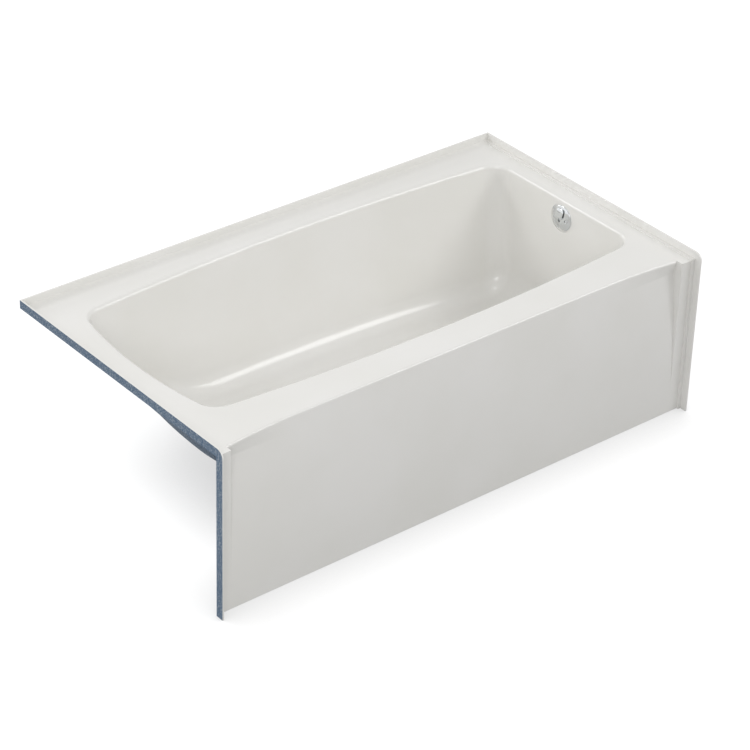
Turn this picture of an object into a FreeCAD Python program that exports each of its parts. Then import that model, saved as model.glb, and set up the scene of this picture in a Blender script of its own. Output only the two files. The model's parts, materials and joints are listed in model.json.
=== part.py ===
# Alcove bathtub with its trip-lever waste and overflow, in millimetres.
# X runs along the tub (drain end at +X), the apron faces -Y, Z is up.
# The origin is on the room's floor, under the middle of the tub.
import FreeCAD, Part
import os
import Sketcher
from FreeCAD import Placement, Rotation, Vector

doc = FreeCAD.newDocument("alcove_bathtub")
dims = doc.addObject("Spreadsheet::Sheet", "dims")

SIZES = [
    # overall shell
    ("length", 1524, "end flange to end flange"),
    ("width", 838.2, "front of the end flanges to the back flange"),
    ("height", 476.25, "floor to the top of the flanges"),
    ("wall", 4.5, "gelcoat and laminate together"),
    # tile flange along the ends and the back
    ("flange_lip", 19, "flange above the ledge, and in front of it"),
    ("flange_round", 21, "corner of the end flange"),
    ("ledge_reach", 8, "width of the ledge inside the end flange"),
    ("ledge_step", 6, "ledge down to the deck"),
    ("back_run", 42, "deck that sweeps up to the back flange"),
    # apron
    ("border", 31.5, "flat border at each end of the apron"),
    ("panel_foot", 40, "upright foot of the apron panel"),
    ("panel_lean", 35, "panel's lean at the deck"),
    ("web_drop", 40, "height of the fold under the deck edge"),
    ("sweep", 17, "deck edge's forward sweep at the borders"),
    ("sweep_run", 220, "length of that sweep"),
    ("edge_roll", 6, "rounding of the deck's front edge"),
    # basin
    ("rim_left", 78, "left end to the basin"),
    ("rim_right", 62, "drain end to the basin"),
    ("rim_front", 135, "apron to the basin"),
    ("rim_back", 81, "back to the basin"),
    ("end_bow", 47, "bow of the backrest end"),
    ("side_radius", 6800, "bow of the long sides"),
    ("side_draft", 8, "draft of the long sides, degrees"),
    ("end_draft", 2, "draft of the drain end, degrees"),
    ("backrest_radius", 430, "curve of the backrest"),
    ("floor_high", 101, "basin floor at the backrest"),
    ("floor_fall", 12, "fall of the floor to the drain end"),
    ("cove", 75, "floor into the drain end"),
    ("corner_round", 58, "long corners of the basin"),
    ("rim_round", 12, "roll of the rim"),
    # drain and overflow places
    ("drain_inset", 199, "drain axis from the drain end"),
    ("drain_seat_radius", 40, "flat around the drain"),
    ("drain_seat_sink", 2, "sink of that flat"),
    ("drain_seat_pad", 1, "extra floor under that flat"),
    ("drain_hole_radius", 25, "hole in the floor"),
    ("overflow_drop", 54, "overflow axis below the deck"),
    ("overflow_seat_radius", 40, "flat around the overflow"),
    ("overflow_seat_sink", 0.8, "sink of that flat at its top"),
    ("overflow_seat_wall", 8, "end wall at that flat"),
    ("overflow_hole_radius", 28, "hole in the end wall"),
    # timber under the shell
    ("board_thick", 12, "plywood under the floor"),
    ("board_start", 10, "board's end past the foot of the backrest"),
    ("board_width", 320, "board across the tub"),
    ("board_gap", 83, "board's end to the drain axis"),
    ("bearer_width", 38, "timber bearers"),
    ("bearer_length", 360, "bearers across the tub"),
    ("bearer_inset", 40, "outer bearers from the board's ends"),
    ("nailer_thick", 19, "strip along the apron's foot"),
    ("nailer_tall", 38, "strip along the apron's foot"),
    ("stiffener_thick", 9, "plywood behind the apron"),
    ("stiffener_low", 150, "lower edge of that plywood"),
    ("stiffener_high", 340, "upper edge of that plywood"),
    ("stiffener_inset", 80, "its ends from the tub's ends"),
    ("rim_board_width", 60, "plywood under the front deck"),
    ("rim_board_gap", 14, "its distance behind the apron"),
    ("rim_board_inset", 160, "its ends from the tub's ends"),
    # overflow plate
    ("plate_radius", 36, "domed plate"),
    ("plate_rise", 9, "rise of the dome"),
    ("plate_skirt", 2.5, "upright skirt of the plate"),
    ("plate_thick", 1.5, "sheet of the plate"),
    ("slot_half", 8.5, "half height of the lever's slot"),
    ("slot_width", 6.4, "width of the lever's slot"),
    ("water_gap_width", 26, "gap below the plate"),
    ("water_gap_tall", 5, "gap below the plate"),
    ("screw_spread", 22, "plate screws from the axis"),
    ("screw_radius", 2.2, "plate screws"),
    ("screw_hole_radius", 2.6, "plate screw holes"),
    ("screw_head_radius", 4.3, "plate screw heads"),
    ("screw_head_tall", 2.4, "plate screw heads"),
    ("screw_seat", 5.8, "seat of those heads above the wall"),
    ("screw_boss_radius", 6, "boss behind the plate"),
    ("screw_boss_tall", 4.3, "boss behind the plate"),
    # lever
    ("pivot_depth", 7, "lever pin behind the seat"),
    ("pin_radius", 1.5, "lever pin and clevis pin"),
    ("running_gap", 0.05, "lever on its pin"),
    ("lug_thick", 2.5, "lugs that hold the lever pin"),
    ("lug_gap", 6.2, "space between the lugs"),
    ("lug_half", 5, "half height of a lug"),
    ("lever_thick", 5.6, "lever between the lugs"),
    ("lever_hub_radius", 4.5, "boss round the pin"),
    ("arm_half", 4, "half height of the inner arm"),
    ("neck_half", 2, "half height of the neck in the slot"),
    ("paddle_width", 26, "thumb piece"),
    ("paddle_tall", 24, "thumb piece above the pin"),
    ("paddle_thick", 3, "thumb piece"),
    ("paddle_bend", 5, "bend under the thumb piece"),
    ("paddle_corner", 8, "upper corners of the thumb piece"),
    ("paddle_clear", 4.5, "thumb piece in front of the dome"),
    ("lift_travel", 17, "rise of the plunger"),
    ("eye_gap", 0.3, "clevis pin in the lever's eye"),
    # overflow head and tube
    ("gasket_thick", 5, "overflow gasket"),
    ("gasket_radius", 40, "overflow gasket"),
    ("gasket_bore", 17, "opening of the overflow gasket"),
    ("head_flange_radius", 38, "overflow head's flange"),
    ("head_flange_thick", 4, "overflow head's flange"),
    ("tube_radius", 19.05, "1 1/2 in tube"),
    ("tube_bore", 17.5, "inside of the overflow tube"),
    ("head_radius", 20.6, "overflow head, outside"),
    ("head_gap", 0.1, "its barrel short of the gasket"),
    ("head_bore", 18.5, "overflow head, inside"),
    ("head_bevel", 2.5, "edge of the head's flat top"),
    ("head_shoulder", 26, "shoulder below the overflow axis"),
    ("head_socket", 20, "depth of the socket"),
    # clevis, rod and plunger
    ("clevis_width", 12, "across the cheeks and along the arm"),
    ("clevis_gap", 6.4, "between the cheeks"),
    ("clevis_head", 5, "cheeks above the clevis pin"),
    ("clevis_throat", 9, "clevis pin to the block"),
    ("clevis_block", 11, "height of the block"),
    ("rod_radius", 2.4, "lift rod"),
    ("rod_grip", 8, "rod screwed into clevis and plunger"),
    ("locknut_radius", 5.2, "locknut across its corners"),
    ("locknut_thick", 3.2, "locknut"),
    ("plunger_radius", 16.5, "plunger"),
    ("plunger_tall", 38, "plunger"),
    ("plunger_nose", 2.5, "chamfer that meets the seat"),
    ("plunger_bore", 12.5, "inside of the plunger"),
    ("plunger_bar", 9, "bar across the plunger's top"),
    ("plunger_gap", 0.5, "closed plunger above its seat"),
    # tee
    ("outlet_lift", 2, "outlet above the floor"),
    ("outlet_tall", 18, "length of the outlet"),
    ("seat_high", 24, "plunger's seat above the floor"),
    ("seat_thick", 4, "seat ring"),
    ("seat_bore", 13.5, "seat ring, inside"),
    ("outlet_bore", 16, "outlet, inside"),
    ("inlet_high", 46, "shoe tube's axis above the floor"),
    ("inlet_bore", 16.9, "shoe tube, inside"),
    ("tee_radius", 21, "tee barrel"),
    ("tee_waist", 88, "top of the barrel"),
    ("tee_shoulder", 94, "bottom of the top socket"),
    ("tee_top", 122, "top of the tee"),
    ("joint_radius", 23, "threaded ends of the tee"),
    ("socket_gap", 0.3, "tube in a slip joint"),
    ("thread_gap", 0.15, "screwed pieces on each other"),
    ("inlet_shoulder", 24, "bottom of the side socket from the axis"),
    ("inlet_reach", 50, "end of the side socket from the axis"),
    ("tube_stop", 2, "tube ends short of the shoulder"),
    ("nut_half", 26, "slip nuts, half across the flats"),
    ("nut_overlap", 20, "slip nut's thread"),
    ("nut_lip", 3, "slip nut's end wall"),
    ("washer_thick", 4, "slip washers"),
    ("washer_gap", 0.2, "slip washer inside its nut"),
    # shoe and drain
    ("shoe_gasket_thick", 3, "rubber washer under the floor"),
    ("shoe_flange_radius", 37, "shoe's flange"),
    ("shoe_flange_thick", 4, "shoe's flange"),
    ("shoe_radius", 27, "shoe's body"),
    ("shoe_floor", 3, "shoe's closed bottom"),
    ("shoe_low", 22, "underside of the shoe"),
    ("flange_barrel_radius", 23.5, "threaded barrel of the drain flange"),
    ("flange_barrel_bore", 20.5, "inside of that barrel"),
    ("flange_barrel_tall", 26, "length of that barrel"),
    ("flange_rim_radius", 36.5, "rim of the drain flange"),
    ("flange_rim_thick", 2.2, "rim of the drain flange"),
    ("bar_width", 4, "cross bars of the drain flange"),
    ("bar_tall", 4, "cross bars of the drain flange"),
    ("bar_sink", 7, "cross bars below the floor"),
    ("bar_boss_radius", 5.5, "boss of the cross bars"),
    ("grid_radius", 30, "drain grid"),
    ("grid_thick", 1.8, "drain grid"),
    ("grid_slot_width", 2.8, "slots of the grid"),
    ("grid_slot_start", 7.5, "inner end of a slot"),
    ("grid_slot_end", 19, "outer end of a slot"),
    ("grid_screw_radius", 2.4, "grid screw"),
    ("grid_screw_head", 4.2, "grid screw's head"),
    ("grid_screw_rise", 1.8, "grid screw's head"),
]
for row, (name, value, note) in enumerate(SIZES, start=1):
    dims.set("A%d" % row, name)
    dims.set("B%d" % row, str(value))
    dims.setAlias("B%d" % row, name)
    dims.set("C%d" % row, note)
doc.recompute()

# Places that several pieces share, written from the sizes above.
END = "(dims.length / 2)"
SIDE = "(dims.width / 2)"
TOP = "dims.height"
LEDGE = "(dims.height - dims.flange_lip)"
DECK = "(dims.height - dims.flange_lip - dims.ledge_step)"
UNDER_DECK = "(%s - dims.wall)" % DECK
APRON = "(-dims.width / 2 + dims.flange_lip + dims.ledge_step)"
LEDGE_FRONT = "(-dims.width / 2 + dims.flange_lip)"
FLANGE_IN = "(dims.length / 2 - dims.wall)"
LEDGE_IN = "(dims.length / 2 - dims.wall - dims.ledge_reach)"
PANEL_END = "(dims.length / 2 - dims.wall - dims.ledge_reach - dims.border)"
MIDLINE = "((dims.rim_front + dims.flange_lip + dims.ledge_step - dims.rim_back) / 2)"
WALL_LEFT = "(-dims.length / 2 + dims.rim_left)"
WALL_RIGHT = "(dims.length / 2 - dims.rim_right)"
CENTRE_RISE = "(dims.backrest_radius + dims.floor_high - %s)" % DECK
FLOOR_LEFT = "(%s + sqrt(dims.backrest_radius ^ 2 - %s ^ 2))" % (WALL_LEFT, CENTRE_RISE)
WALL_FOOT = "(%s - (%s - dims.floor_high + dims.floor_fall) * tan(dims.end_draft))" % (WALL_RIGHT, DECK)
FLOOR_RIGHT = "(%s - dims.cove)" % WALL_FOOT
FLOOR_TILT = "(atan(dims.floor_fall / (%s - %s)) / 1 deg)" % (FLOOR_RIGHT, FLOOR_LEFT)
FLOOR_SLOPE = "(dims.floor_fall / (%s - %s))" % (FLOOR_RIGHT, FLOOR_LEFT)
DRAIN_X = "(dims.length / 2 - dims.drain_inset)"
DRAIN_TOP = "(dims.floor_high - (%s - %s) * %s - dims.drain_seat_sink)" % (DRAIN_X, FLOOR_LEFT, FLOOR_SLOPE)
DRAIN_UNDER = "(%s - dims.wall - dims.drain_seat_pad)" % DRAIN_TOP
SHOE_TOP = "(%s - dims.shoe_gasket_thick)" % DRAIN_UNDER
OVER_Z = "(%s - dims.overflow_drop)" % DECK
SEAT_X = "(%s - (dims.overflow_drop - dims.overflow_seat_radius) * tan(dims.end_draft) + %s)" % (
    WALL_RIGHT, "dims.overflow_seat_sink")
SEAT_BACK = "(%s + dims.overflow_seat_wall)" % SEAT_X
HEAD_X = "(%s + dims.gasket_thick)" % SEAT_BACK
TUBE_X = "(%s + dims.head_radius + dims.head_gap)" % HEAD_X
PIVOT_X = "(%s + dims.pivot_depth)" % SEAT_X
ARM_REACH = "(%s - %s)" % (TUBE_X, PIVOT_X)
CLEVIS_PIN_Z = "(%s - dims.lift_travel / 2)" % OVER_Z
LEVER_ANGLE = "(atan(dims.lift_travel / 2 / %s) / 1 deg)" % ARM_REACH
CLEVIS_UNDER = "(%s - dims.clevis_throat - dims.clevis_block)" % CLEVIS_PIN_Z
BEYOND = "30"  # how far cutting shapes run past the shell


ACROSS = Vector(0, 1, 0)


# ---- small helpers ----

def newBody(label):
    body = doc.addObject("PartDesign::Body", label)
    body.Label = label
    doc.recompute()
    return body


def originPlane(body, role):
    return next(item for item in body.Origin.OriginFeatures if item.Role == role)


def newSketch(body, role, name, offset="0"):
    sketch = body.newObject("Sketcher::SketchObject", name)
    sketch.AttachmentSupport = [(originPlane(body, role), "")]
    sketch.MapMode = "FlatFace"
    sketch.setExpression(".AttachmentOffset.Base.z", offset)
    return sketch


def bindConstraint(sketch, constraint, expression):
    index = sketch.addConstraint(constraint)
    sketch.setExpression("Constraints[%d]" % index, expression)


def drawOutline(sketch, corners, arcs=None):
    # Closed outline through the corners; arcs maps an edge to (radius, side its centre is on:
    # 1 for the left of travel), and a half round has no radius of its own.
    arcs = arcs or {}
    points = [Vector(sketch.evalExpression(u), sketch.evalExpression(v), 0) for u, v in corners]
    first = sketch.GeometryCount
    count = len(points)
    ends = []
    for i, start in enumerate(points):
        finish = points[(i + 1) % count]
        edge = Part.LineSegment(start, finish)
        if i in arcs:
            chord = finish - start
            radius = sketch.evalExpression(arcs[i][0]) if arcs[i][0] else chord.Length / 2
            normal = Vector(-chord.y, chord.x, 0).normalize() * arcs[i][1]
            height = max(radius ** 2 - chord.Length ** 2 / 4, 0) ** 0.5
            crown = (start + finish) / 2 + normal * (height - radius)
            edge = Part.Arc(start, crown, finish) if arcs[i][1] > 0 else Part.Arc(finish, crown, start)
        index = sketch.addGeometry(edge, False)
        forward = (sketch.Geometry[index].StartPoint - start).Length < 1e-6
        ends.append((1, 2) if forward else (2, 1))
    for i in range(count):
        j = (i + 1) % count
        joint = Sketcher.Constraint("Coincident", first + i, ends[i][1], first + j, ends[j][0])
        sketch.addConstraint(joint)
    for i, (u, v) in enumerate(corners):
        for kind, place in (("DistanceX", u), ("DistanceY", v)):
            value = sketch.evalExpression(place)
            bindConstraint(sketch, Sketcher.Constraint(kind, -1, 1, first + i, ends[i][0], value), place)
    for i, (radius, _) in arcs.items():
        if radius:
            value = sketch.evalExpression(radius)
            bindConstraint(sketch, Sketcher.Constraint("Radius", first + i, value), radius)
            continue
        # a half round's centre is level with its ends
        upright = abs(points[i].x - points[(i + 1) % count].x) < 1e-6
        place = corners[i][0] if upright else corners[i][1]
        kind = "DistanceX" if upright else "DistanceY"
        value = sketch.evalExpression(place)
        bindConstraint(sketch, Sketcher.Constraint(kind, -1, 1, first + i, 3, value), place)


def drawCircle(sketch, u, v, radius):
    centre = Vector(sketch.evalExpression(u), sketch.evalExpression(v), 0)
    size = sketch.evalExpression(radius)
    index = sketch.addGeometry(Part.Circle(centre, Vector(0, 0, 1), size), False)
    bindConstraint(sketch, Sketcher.Constraint("DistanceX", -1, 1, index, 3, centre.x), u)
    bindConstraint(sketch, Sketcher.Constraint("DistanceY", -1, 1, index, 3, centre.y), v)
    bindConstraint(sketch, Sketcher.Constraint("Radius", index, size), radius)


def rectangle(u0, v0, u1, v1):
    return [(u0, v0), (u1, v0), (u1, v1), (u0, v1)]


def addPad(body, sketch, length, midplane=False, reverse=False):
    pad = body.newObject("PartDesign::Pad", sketch.Name + "_pad")
    pad.Profile = sketch
    pad.Midplane = midplane
    pad.Reversed = reverse
    pad.setExpression("Length", length)
    doc.recompute()
    return pad


def addPocket(body, sketch, length=None, midplane=False, reverse=False):
    # A pocket that removes nothing is an error, so the volume is compared.
    before = body.Shape.Volume
    pocket = body.newObject("PartDesign::Pocket", sketch.Name + "_pocket")
    pocket.Profile = sketch
    pocket.Midplane = midplane
    pocket.Reversed = reverse
    if length:
        pocket.setExpression("Length", length)
    else:
        pocket.Type = 1
    doc.recompute()
    if not body.Shape.Volume < before:
        raise RuntimeError(sketch.Name + " removes nothing")
    return pocket


def addRevolution(body, sketch, axis="V_Axis"):
    turn = body.newObject("PartDesign::Revolution", sketch.Name + "_turn")
    turn.Profile = sketch
    turn.ReferenceAxis = (sketch, [axis])
    turn.Angle = 360
    doc.recompute()
    return turn


def addGroove(body, sketch):
    before = body.Shape.Volume
    groove = body.newObject("PartDesign::Groove", sketch.Name + "_groove")
    groove.Profile = sketch
    groove.ReferenceAxis = (sketch, ["V_Axis"])
    groove.Angle = 360
    doc.recompute()
    if not body.Shape.Volume < before:
        raise RuntimeError(sketch.Name + " removes nothing")
    return groove


def addLoft(body, kind, name, sections):
    loft = body.newObject("PartDesign::" + kind, name)
    loft.Profile = sections[0]
    loft.Sections = sections[1:]
    doc.recompute()
    return loft


def addBoolean(body, kind, name, tool):
    boolean = body.newObject("PartDesign::Boolean", name)
    boolean.Type = kind
    boolean.Group = [tool]
    doc.recompute()
    return boolean


def addFillet(body, base, name, edges, radius):
    fillet = body.newObject("PartDesign::Fillet", name)
    fillet.Base = (base, edges)
    fillet.setExpression("Radius", radius)
    doc.recompute()
    return fillet


def edgesWhere(shape, test):
    return ["Edge%d" % (i + 1) for i, edge in enumerate(shape.Edges) if test(edge)]


def placeBody(body, x, y, z, angle=None):
    # angle turns the body about its own Y axis first.
    if angle:
        body.Placement = Placement(Vector(), Rotation(ACROSS, 1))
        body.setExpression(".Placement.Rotation.Angle", angle)
    for side, place in (("x", x), ("y", y), ("z", z)):
        body.setExpression(".Placement.Base." + side, place)
    doc.recompute()


def addBox(label, x, y, z):
    # x, y and z are pairs of places.
    box = doc.addObject("Part::Box", label)
    for side, size, pair in (("x", "Length", x), ("y", "Width", y), ("z", "Height", z)):
        box.setExpression(size, "%s - %s" % (pair[1], pair[0]))
        box.setExpression(".Placement.Base." + side, pair[0])
    doc.recompute()
    return box


def group(label, bodies):
    # Alike pieces that share one name.
    together = doc.addObject("Part::Compound", label)
    together.Links = bodies
    doc.recompute()
    return together


def turnedBody(label, corners, arcs=None, axis="V_Axis"):
    # A round piece about its own Z axis, or about its X axis with axis="H_Axis".
    body = newBody(label)
    profile = newSketch(body, "XZ_Plane", label + "_profile")
    drawOutline(profile, corners, arcs)
    addRevolution(body, profile, axis)
    return body


def ring(label, inner, outer, low, high, axis="V_Axis"):
    corners = rectangle(inner, low, outer, high)
    if axis == "H_Axis":
        corners = rectangle(low, inner, high, outer)
    return turnedBody(label, corners, axis=axis)



# ---- the moulded shell ----

def makeBasinForm(label, grow):
    # The hollow of the basin, or the same form larger by the wall. It is drawn level, with its
    # origin at the foot of the backrest, and then tilted as a whole for the fall of the floor.
    body = newBody(label)
    run = "(%s - %s)" % (WALL_RIGHT, FLOOR_LEFT)
    rise = "(%s - dims.floor_high)" % DECK
    lean = "(dims.end_draft - %s)" % FLOOR_TILT
    crown = "(%s + %s)" % (rise, BEYOND)
    rim_x = "(%s * cos(%s) - %s * sin(%s))" % (run, FLOOR_TILT, rise, FLOOR_TILT)
    rim_z = "(%s * sin(%s) + %s * cos(%s))" % (run, FLOOR_TILT, rise, FLOOR_TILT)
    far = "(%s - %s + %s + %s)" % (FLOOR_LEFT, WALL_LEFT, grow, BEYOND)
    cove = "(dims.cove + %s)" % grow

    def wallAt(height):
        return "(%s + %s - (%s - %s) * tan(%s))" % (rim_x, grow, rim_z, height, lean)

    length = newSketch(body, "XZ_Plane", label + "_length")
    low = "(-%s)" % grow
    cove_top = "(%s + %s)" % (low, cove)
    drawOutline(length, [("-" + far, low), ("(%s - %s)" % (wallAt(low), cove), low),
                         (wallAt(cove_top), cove_top), (wallAt(crown), crown), ("-" + far, crown)],
                {1: (cove, 1)})
    block = addPad(body, length, "dims.width", midplane=True)

    # the backrest bows outwards: its quarter round is turned about an upright axis in the tub
    reach = "(dims.backrest_radius + %s)" % grow
    bow = "(((dims.width * 0.4) ^ 2 + dims.end_bow ^ 2) / (2 * dims.end_bow))"
    axis = "(%s - dims.backrest_radius)" % bow
    back = newSketch(body, "XZ_Plane", label + "_backrest")
    back.setExpression(".AttachmentOffset.Base.x", axis)
    foot = "(-%s)" % axis
    end = "(%s - %s)" % (foot, reach)
    clear = "(%s - dims.width)" % end
    crest = "(dims.backrest_radius + %s)" % BEYOND
    drawOutline(back, [(foot, low), (foot, "(%s - %s)" % (low, BEYOND)),
                       (clear, "(%s - %s)" % (low, BEYOND)), (clear, crest),
                       (end, crest), (end, "dims.backrest_radius")],
                {5: (reach, 1)})
    addGroove(body, back)

    # so do the long sides, with their draft
    for side, sign, place in (("front", "-", "(%s + dims.rim_front)" % APRON),
                              ("back", "", "(%s - dims.rim_back)" % SIDE)):
        sketch = newSketch(body, "YZ_Plane", "%s_%s" % (label, side), "(-%s)" % FLOOR_LEFT)
        centre = "(%s - %s - (%sdims.side_radius))" % (place, MIDLINE, sign)
        sketch.setExpression(".AttachmentOffset.Base.x", centre)
        corners = []
        for height in ("(%s + %s)" % (crown, BEYOND), "(-%s)" % BEYOND):
            radius = "(dims.side_radius + %s - (%s - %s) * tan(dims.side_draft))" % (grow, rise, height)
            corners.append(("%s%s" % (sign, radius), height))
        outside = "%s(dims.side_radius + dims.width)" % sign
        drawOutline(sketch, [corners[0], (outside, corners[0][1]), (outside, corners[1][1]), corners[1]])
        block = addGroove(body, sketch)

    crest = body.evalExpression(rise)
    narrow = body.evalExpression("dims.width / 8")
    corners = edgesWhere(block.Shape, lambda edge: edge.BoundBox.YLength < narrow
                         and min(v.Point.z for v in edge.Vertexes) < crest)
    addFillet(body, block, label + "_corners", corners, "dims.corner_round + %s" % grow)
    placeBody(body, FLOOR_LEFT, MIDLINE, "dims.floor_high", FLOOR_TILT)
    return body


def cutPanel(body, name, grow):
    # The hollow of the apron's leaning panel: sections stand across the tub, and the deck's edge
    # sweeps forward towards both borders.
    span = "(%s - dims.panel_foot)" % DECK
    bend = "((%s ^ 2 + dims.panel_lean ^ 2) / (2 * dims.panel_lean))" % span
    fold = "(%s - dims.web_drop)" % DECK
    rise = "(%s - dims.panel_foot)" % fold
    fold_y = "(%s + %s - sqrt((%s - %s) ^ 2 - %s ^ 2))" % (APRON, bend, bend, grow, rise)
    out = "(%s - dims.flange_lip)" % APRON
    crown = "(%s + %s)" % (DECK, BEYOND)
    end = "(%s + %s)" % (PANEL_END, grow)
    foot = "(%s + %s)" % (APRON, grow)
    for part, side, steps in (("left", "-", (0, 1, 2, 3)), ("middle", "", (-3, 3)), ("right", "", (3, 2, 1, 0))):
        sections = []
        for k in steps:
            place = "%s(%s - dims.sweep_run * %d / 3)" % ("-" if k < 0 else side, end, abs(k))
            sketch = newSketch(body, "YZ_Plane", "%s_%s_%d" % (name, part, len(sections)), place)
            edge = "(%s + dims.panel_lean + %s - dims.sweep * %d / 9)" % (APRON, grow, (3 - abs(k)) ** 2)
            corners = [(out, "dims.panel_foot"), (foot, "dims.panel_foot"), (fold_y, fold),
                       (edge, DECK), (edge, crown), (out, crown)]
            drawOutline(sketch, corners, {1: ("(%s - %s)" % (bend, grow), -1)})
            sections.append(sketch)
        addLoft(body, "SubtractiveLoft", "%s_%s" % (name, part), sections)


def makeSkin():
    # Everything under the moulded face, still solid underneath.
    body = newBody("tub_shell")
    ends = newSketch(body, "XZ_Plane", "end_profile")
    drawOutline(ends, [("-" + END, "0"), (END, "0"), (END, TOP), (FLANGE_IN, TOP), (FLANGE_IN, LEDGE),
                       (LEDGE_IN, LEDGE), (LEDGE_IN, DECK), ("-" + LEDGE_IN, DECK), ("-" + LEDGE_IN, LEDGE),
                       ("-" + FLANGE_IN, LEDGE), ("-" + FLANGE_IN, TOP), ("-" + END, TOP)])
    addPad(body, ends, "dims.width", midplane=True)

    back = newSketch(body, "YZ_Plane", "back_profile")
    inside = "(%s - dims.wall)" % SIDE
    start = "(%s - dims.back_run)" % inside
    rise = "((dims.back_run ^ 2 + dims.ledge_step ^ 2) / (2 * dims.ledge_step))"
    drawOutline(back, [(start, DECK), (inside, LEDGE), (inside, TOP), (SIDE, TOP),
                       (SIDE, UNDER_DECK), (start, UNDER_DECK)], {0: (rise, 1)})
    addPad(body, back, "dims.length", midplane=True)

    front = newSketch(body, "XY_Plane", "front_steps")
    clear = "(-%s - %s)" % (SIDE, BEYOND)
    drawOutline(front, [("-" + FLANGE_IN, clear), (FLANGE_IN, clear), (FLANGE_IN, LEDGE_FRONT),
                        (LEDGE_IN, LEDGE_FRONT), (LEDGE_IN, APRON), ("-" + LEDGE_IN, APRON),
                        ("-" + LEDGE_IN, LEDGE_FRONT), ("-" + FLANGE_IN, LEDGE_FRONT)])
    addPocket(body, front, midplane=True)
    cutPanel(body, "panel", "0")

    opened = addBoolean(body, "Cut", "basin_opening", makeBasinForm("basin_form", "0"))
    deck = body.evalExpression(DECK)
    wall = body.evalExpression("dims.length / 2 - dims.rim_right / 2")
    front_limit = body.evalExpression("%s + dims.rim_front / 2" % APRON)
    back_limit = body.evalExpression("%s - dims.rim_back / 2" % SIDE)

    def onRim(edge):
        level = all(abs(v.Point.z - deck) < 1e-3 for v in edge.Vertexes)
        inner = all(abs(v.Point.x) < wall and front_limit < v.Point.y < back_limit for v in edge.Vertexes)
        return level and inner

    rim = addFillet(body, opened, "rim_roll", edgesWhere(opened.Shape, onRim), "dims.rim_round")

    # the deck's front edge, between the borders
    panel_end = body.evalExpression(PANEL_END)
    level = edgesWhere(rim.Shape, lambda edge: all(abs(v.Point.z - deck) < 1e-3
                       and v.Point.y < front_limit for v in edge.Vertexes)
                       and edge.BoundBox.XLength > panel_end)
    rolled = addFillet(body, rim, "deck_edge_roll", level, "dims.edge_roll")

    # the rounded top front corners of the end flanges
    top = body.evalExpression(TOP)
    tip = -body.evalExpression(SIDE)
    corners = edgesWhere(rolled.Shape, lambda edge: all(abs(v.Point.z - top) < 1e-3
                         and abs(v.Point.y - tip) < 1e-3 for v in edge.Vertexes))
    addFillet(body, rolled, "flange_corners", corners, "dims.flange_round")
    return body


def makeUnderside():
    # The space under and behind the laminate, which leaves the shell its wall.
    body = newBody("tub_underside")
    out = "(%s + %s)" % (END, BEYOND)
    step_in = "(%s - dims.ledge_reach)" % END
    shelf = "(%s - dims.wall)" % LEDGE
    below = "-" + BEYOND
    front = "(%s + dims.wall)" % LEDGE_FRONT
    ends = newSketch(body, "XZ_Plane", "under_profile", "-%s" % front)
    drawOutline(ends, [("-" + out, below), (out, below), (out, shelf), (step_in, shelf),
                       (step_in, UNDER_DECK), ("-" + step_in, UNDER_DECK), ("-" + step_in, shelf),
                       ("-" + out, shelf)])
    addPad(body, ends, "dims.width", reverse=True)

    steps = newSketch(body, "XY_Plane", "under_steps")
    drawOutline(steps, rectangle("-" + step_in, "(%s - 1)" % front, step_in, "(%s + dims.wall)" % APRON))
    addPocket(body, steps, midplane=True)

    back = newSketch(body, "YZ_Plane", "under_back")
    start = "(%s - dims.wall - dims.back_run)" % SIDE
    turn = "(%s - dims.wall)" % SIDE
    beyond = "(%s + %s)" % (SIDE, BEYOND)
    rise = "((dims.back_run ^ 2 + dims.ledge_step ^ 2) / (2 * dims.ledge_step) + dims.wall)"
    drawOutline(back, [(start, UNDER_DECK), (turn, shelf), (beyond, shelf), (beyond, below), (start, below)],
                {0: (rise, 1)})
    addPad(body, back, "2 * %s" % out, midplane=True)
    cutPanel(body, "panel_back", "dims.wall")
    addBoolean(body, "Cut", "basin_outside", makeBasinForm("basin_outer_form", "dims.wall"))

    # thicker flats round the overflow and the drain
    flat = newSketch(body, "YZ_Plane", "overflow_flat", SEAT_BACK)
    drawCircle(flat, MIDLINE, OVER_Z, "dims.overflow_seat_radius + dims.wall")
    addPocket(body, flat, "dims.rim_right")
    flat = newSketch(body, "XY_Plane", "drain_flat", DRAIN_UNDER)
    drawCircle(flat, DRAIN_X, MIDLINE, "dims.drain_seat_radius + dims.wall")
    addPocket(body, flat, "dims.cove", reverse=True)
    return body


def makeShell():
    body = makeSkin()
    addBoolean(body, "Cut", "underside_cut", makeUnderside())

    seat = newSketch(body, "YZ_Plane", "overflow_seat", SEAT_X)
    drawCircle(seat, MIDLINE, OVER_Z, "dims.overflow_seat_radius")
    addPocket(body, seat, "dims.rim_right")
    hole = newSketch(body, "YZ_Plane", "overflow_hole", SEAT_BACK)
    drawCircle(hole, MIDLINE, OVER_Z, "dims.overflow_hole_radius")
    addPocket(body, hole, "dims.rim_right")

    seat = newSketch(body, "XY_Plane", "drain_seat", DRAIN_TOP)
    drawCircle(seat, DRAIN_X, MIDLINE, "dims.drain_seat_radius")
    addPocket(body, seat, "dims.cove", reverse=True)
    hole = newSketch(body, "XY_Plane", "drain_hole", DRAIN_UNDER)
    drawCircle(hole, DRAIN_X, MIDLINE, "dims.drain_hole_radius")
    addPocket(body, hole, "dims.cove", midplane=True)
    return body


# ---- timber bonded to the shell ----

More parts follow.
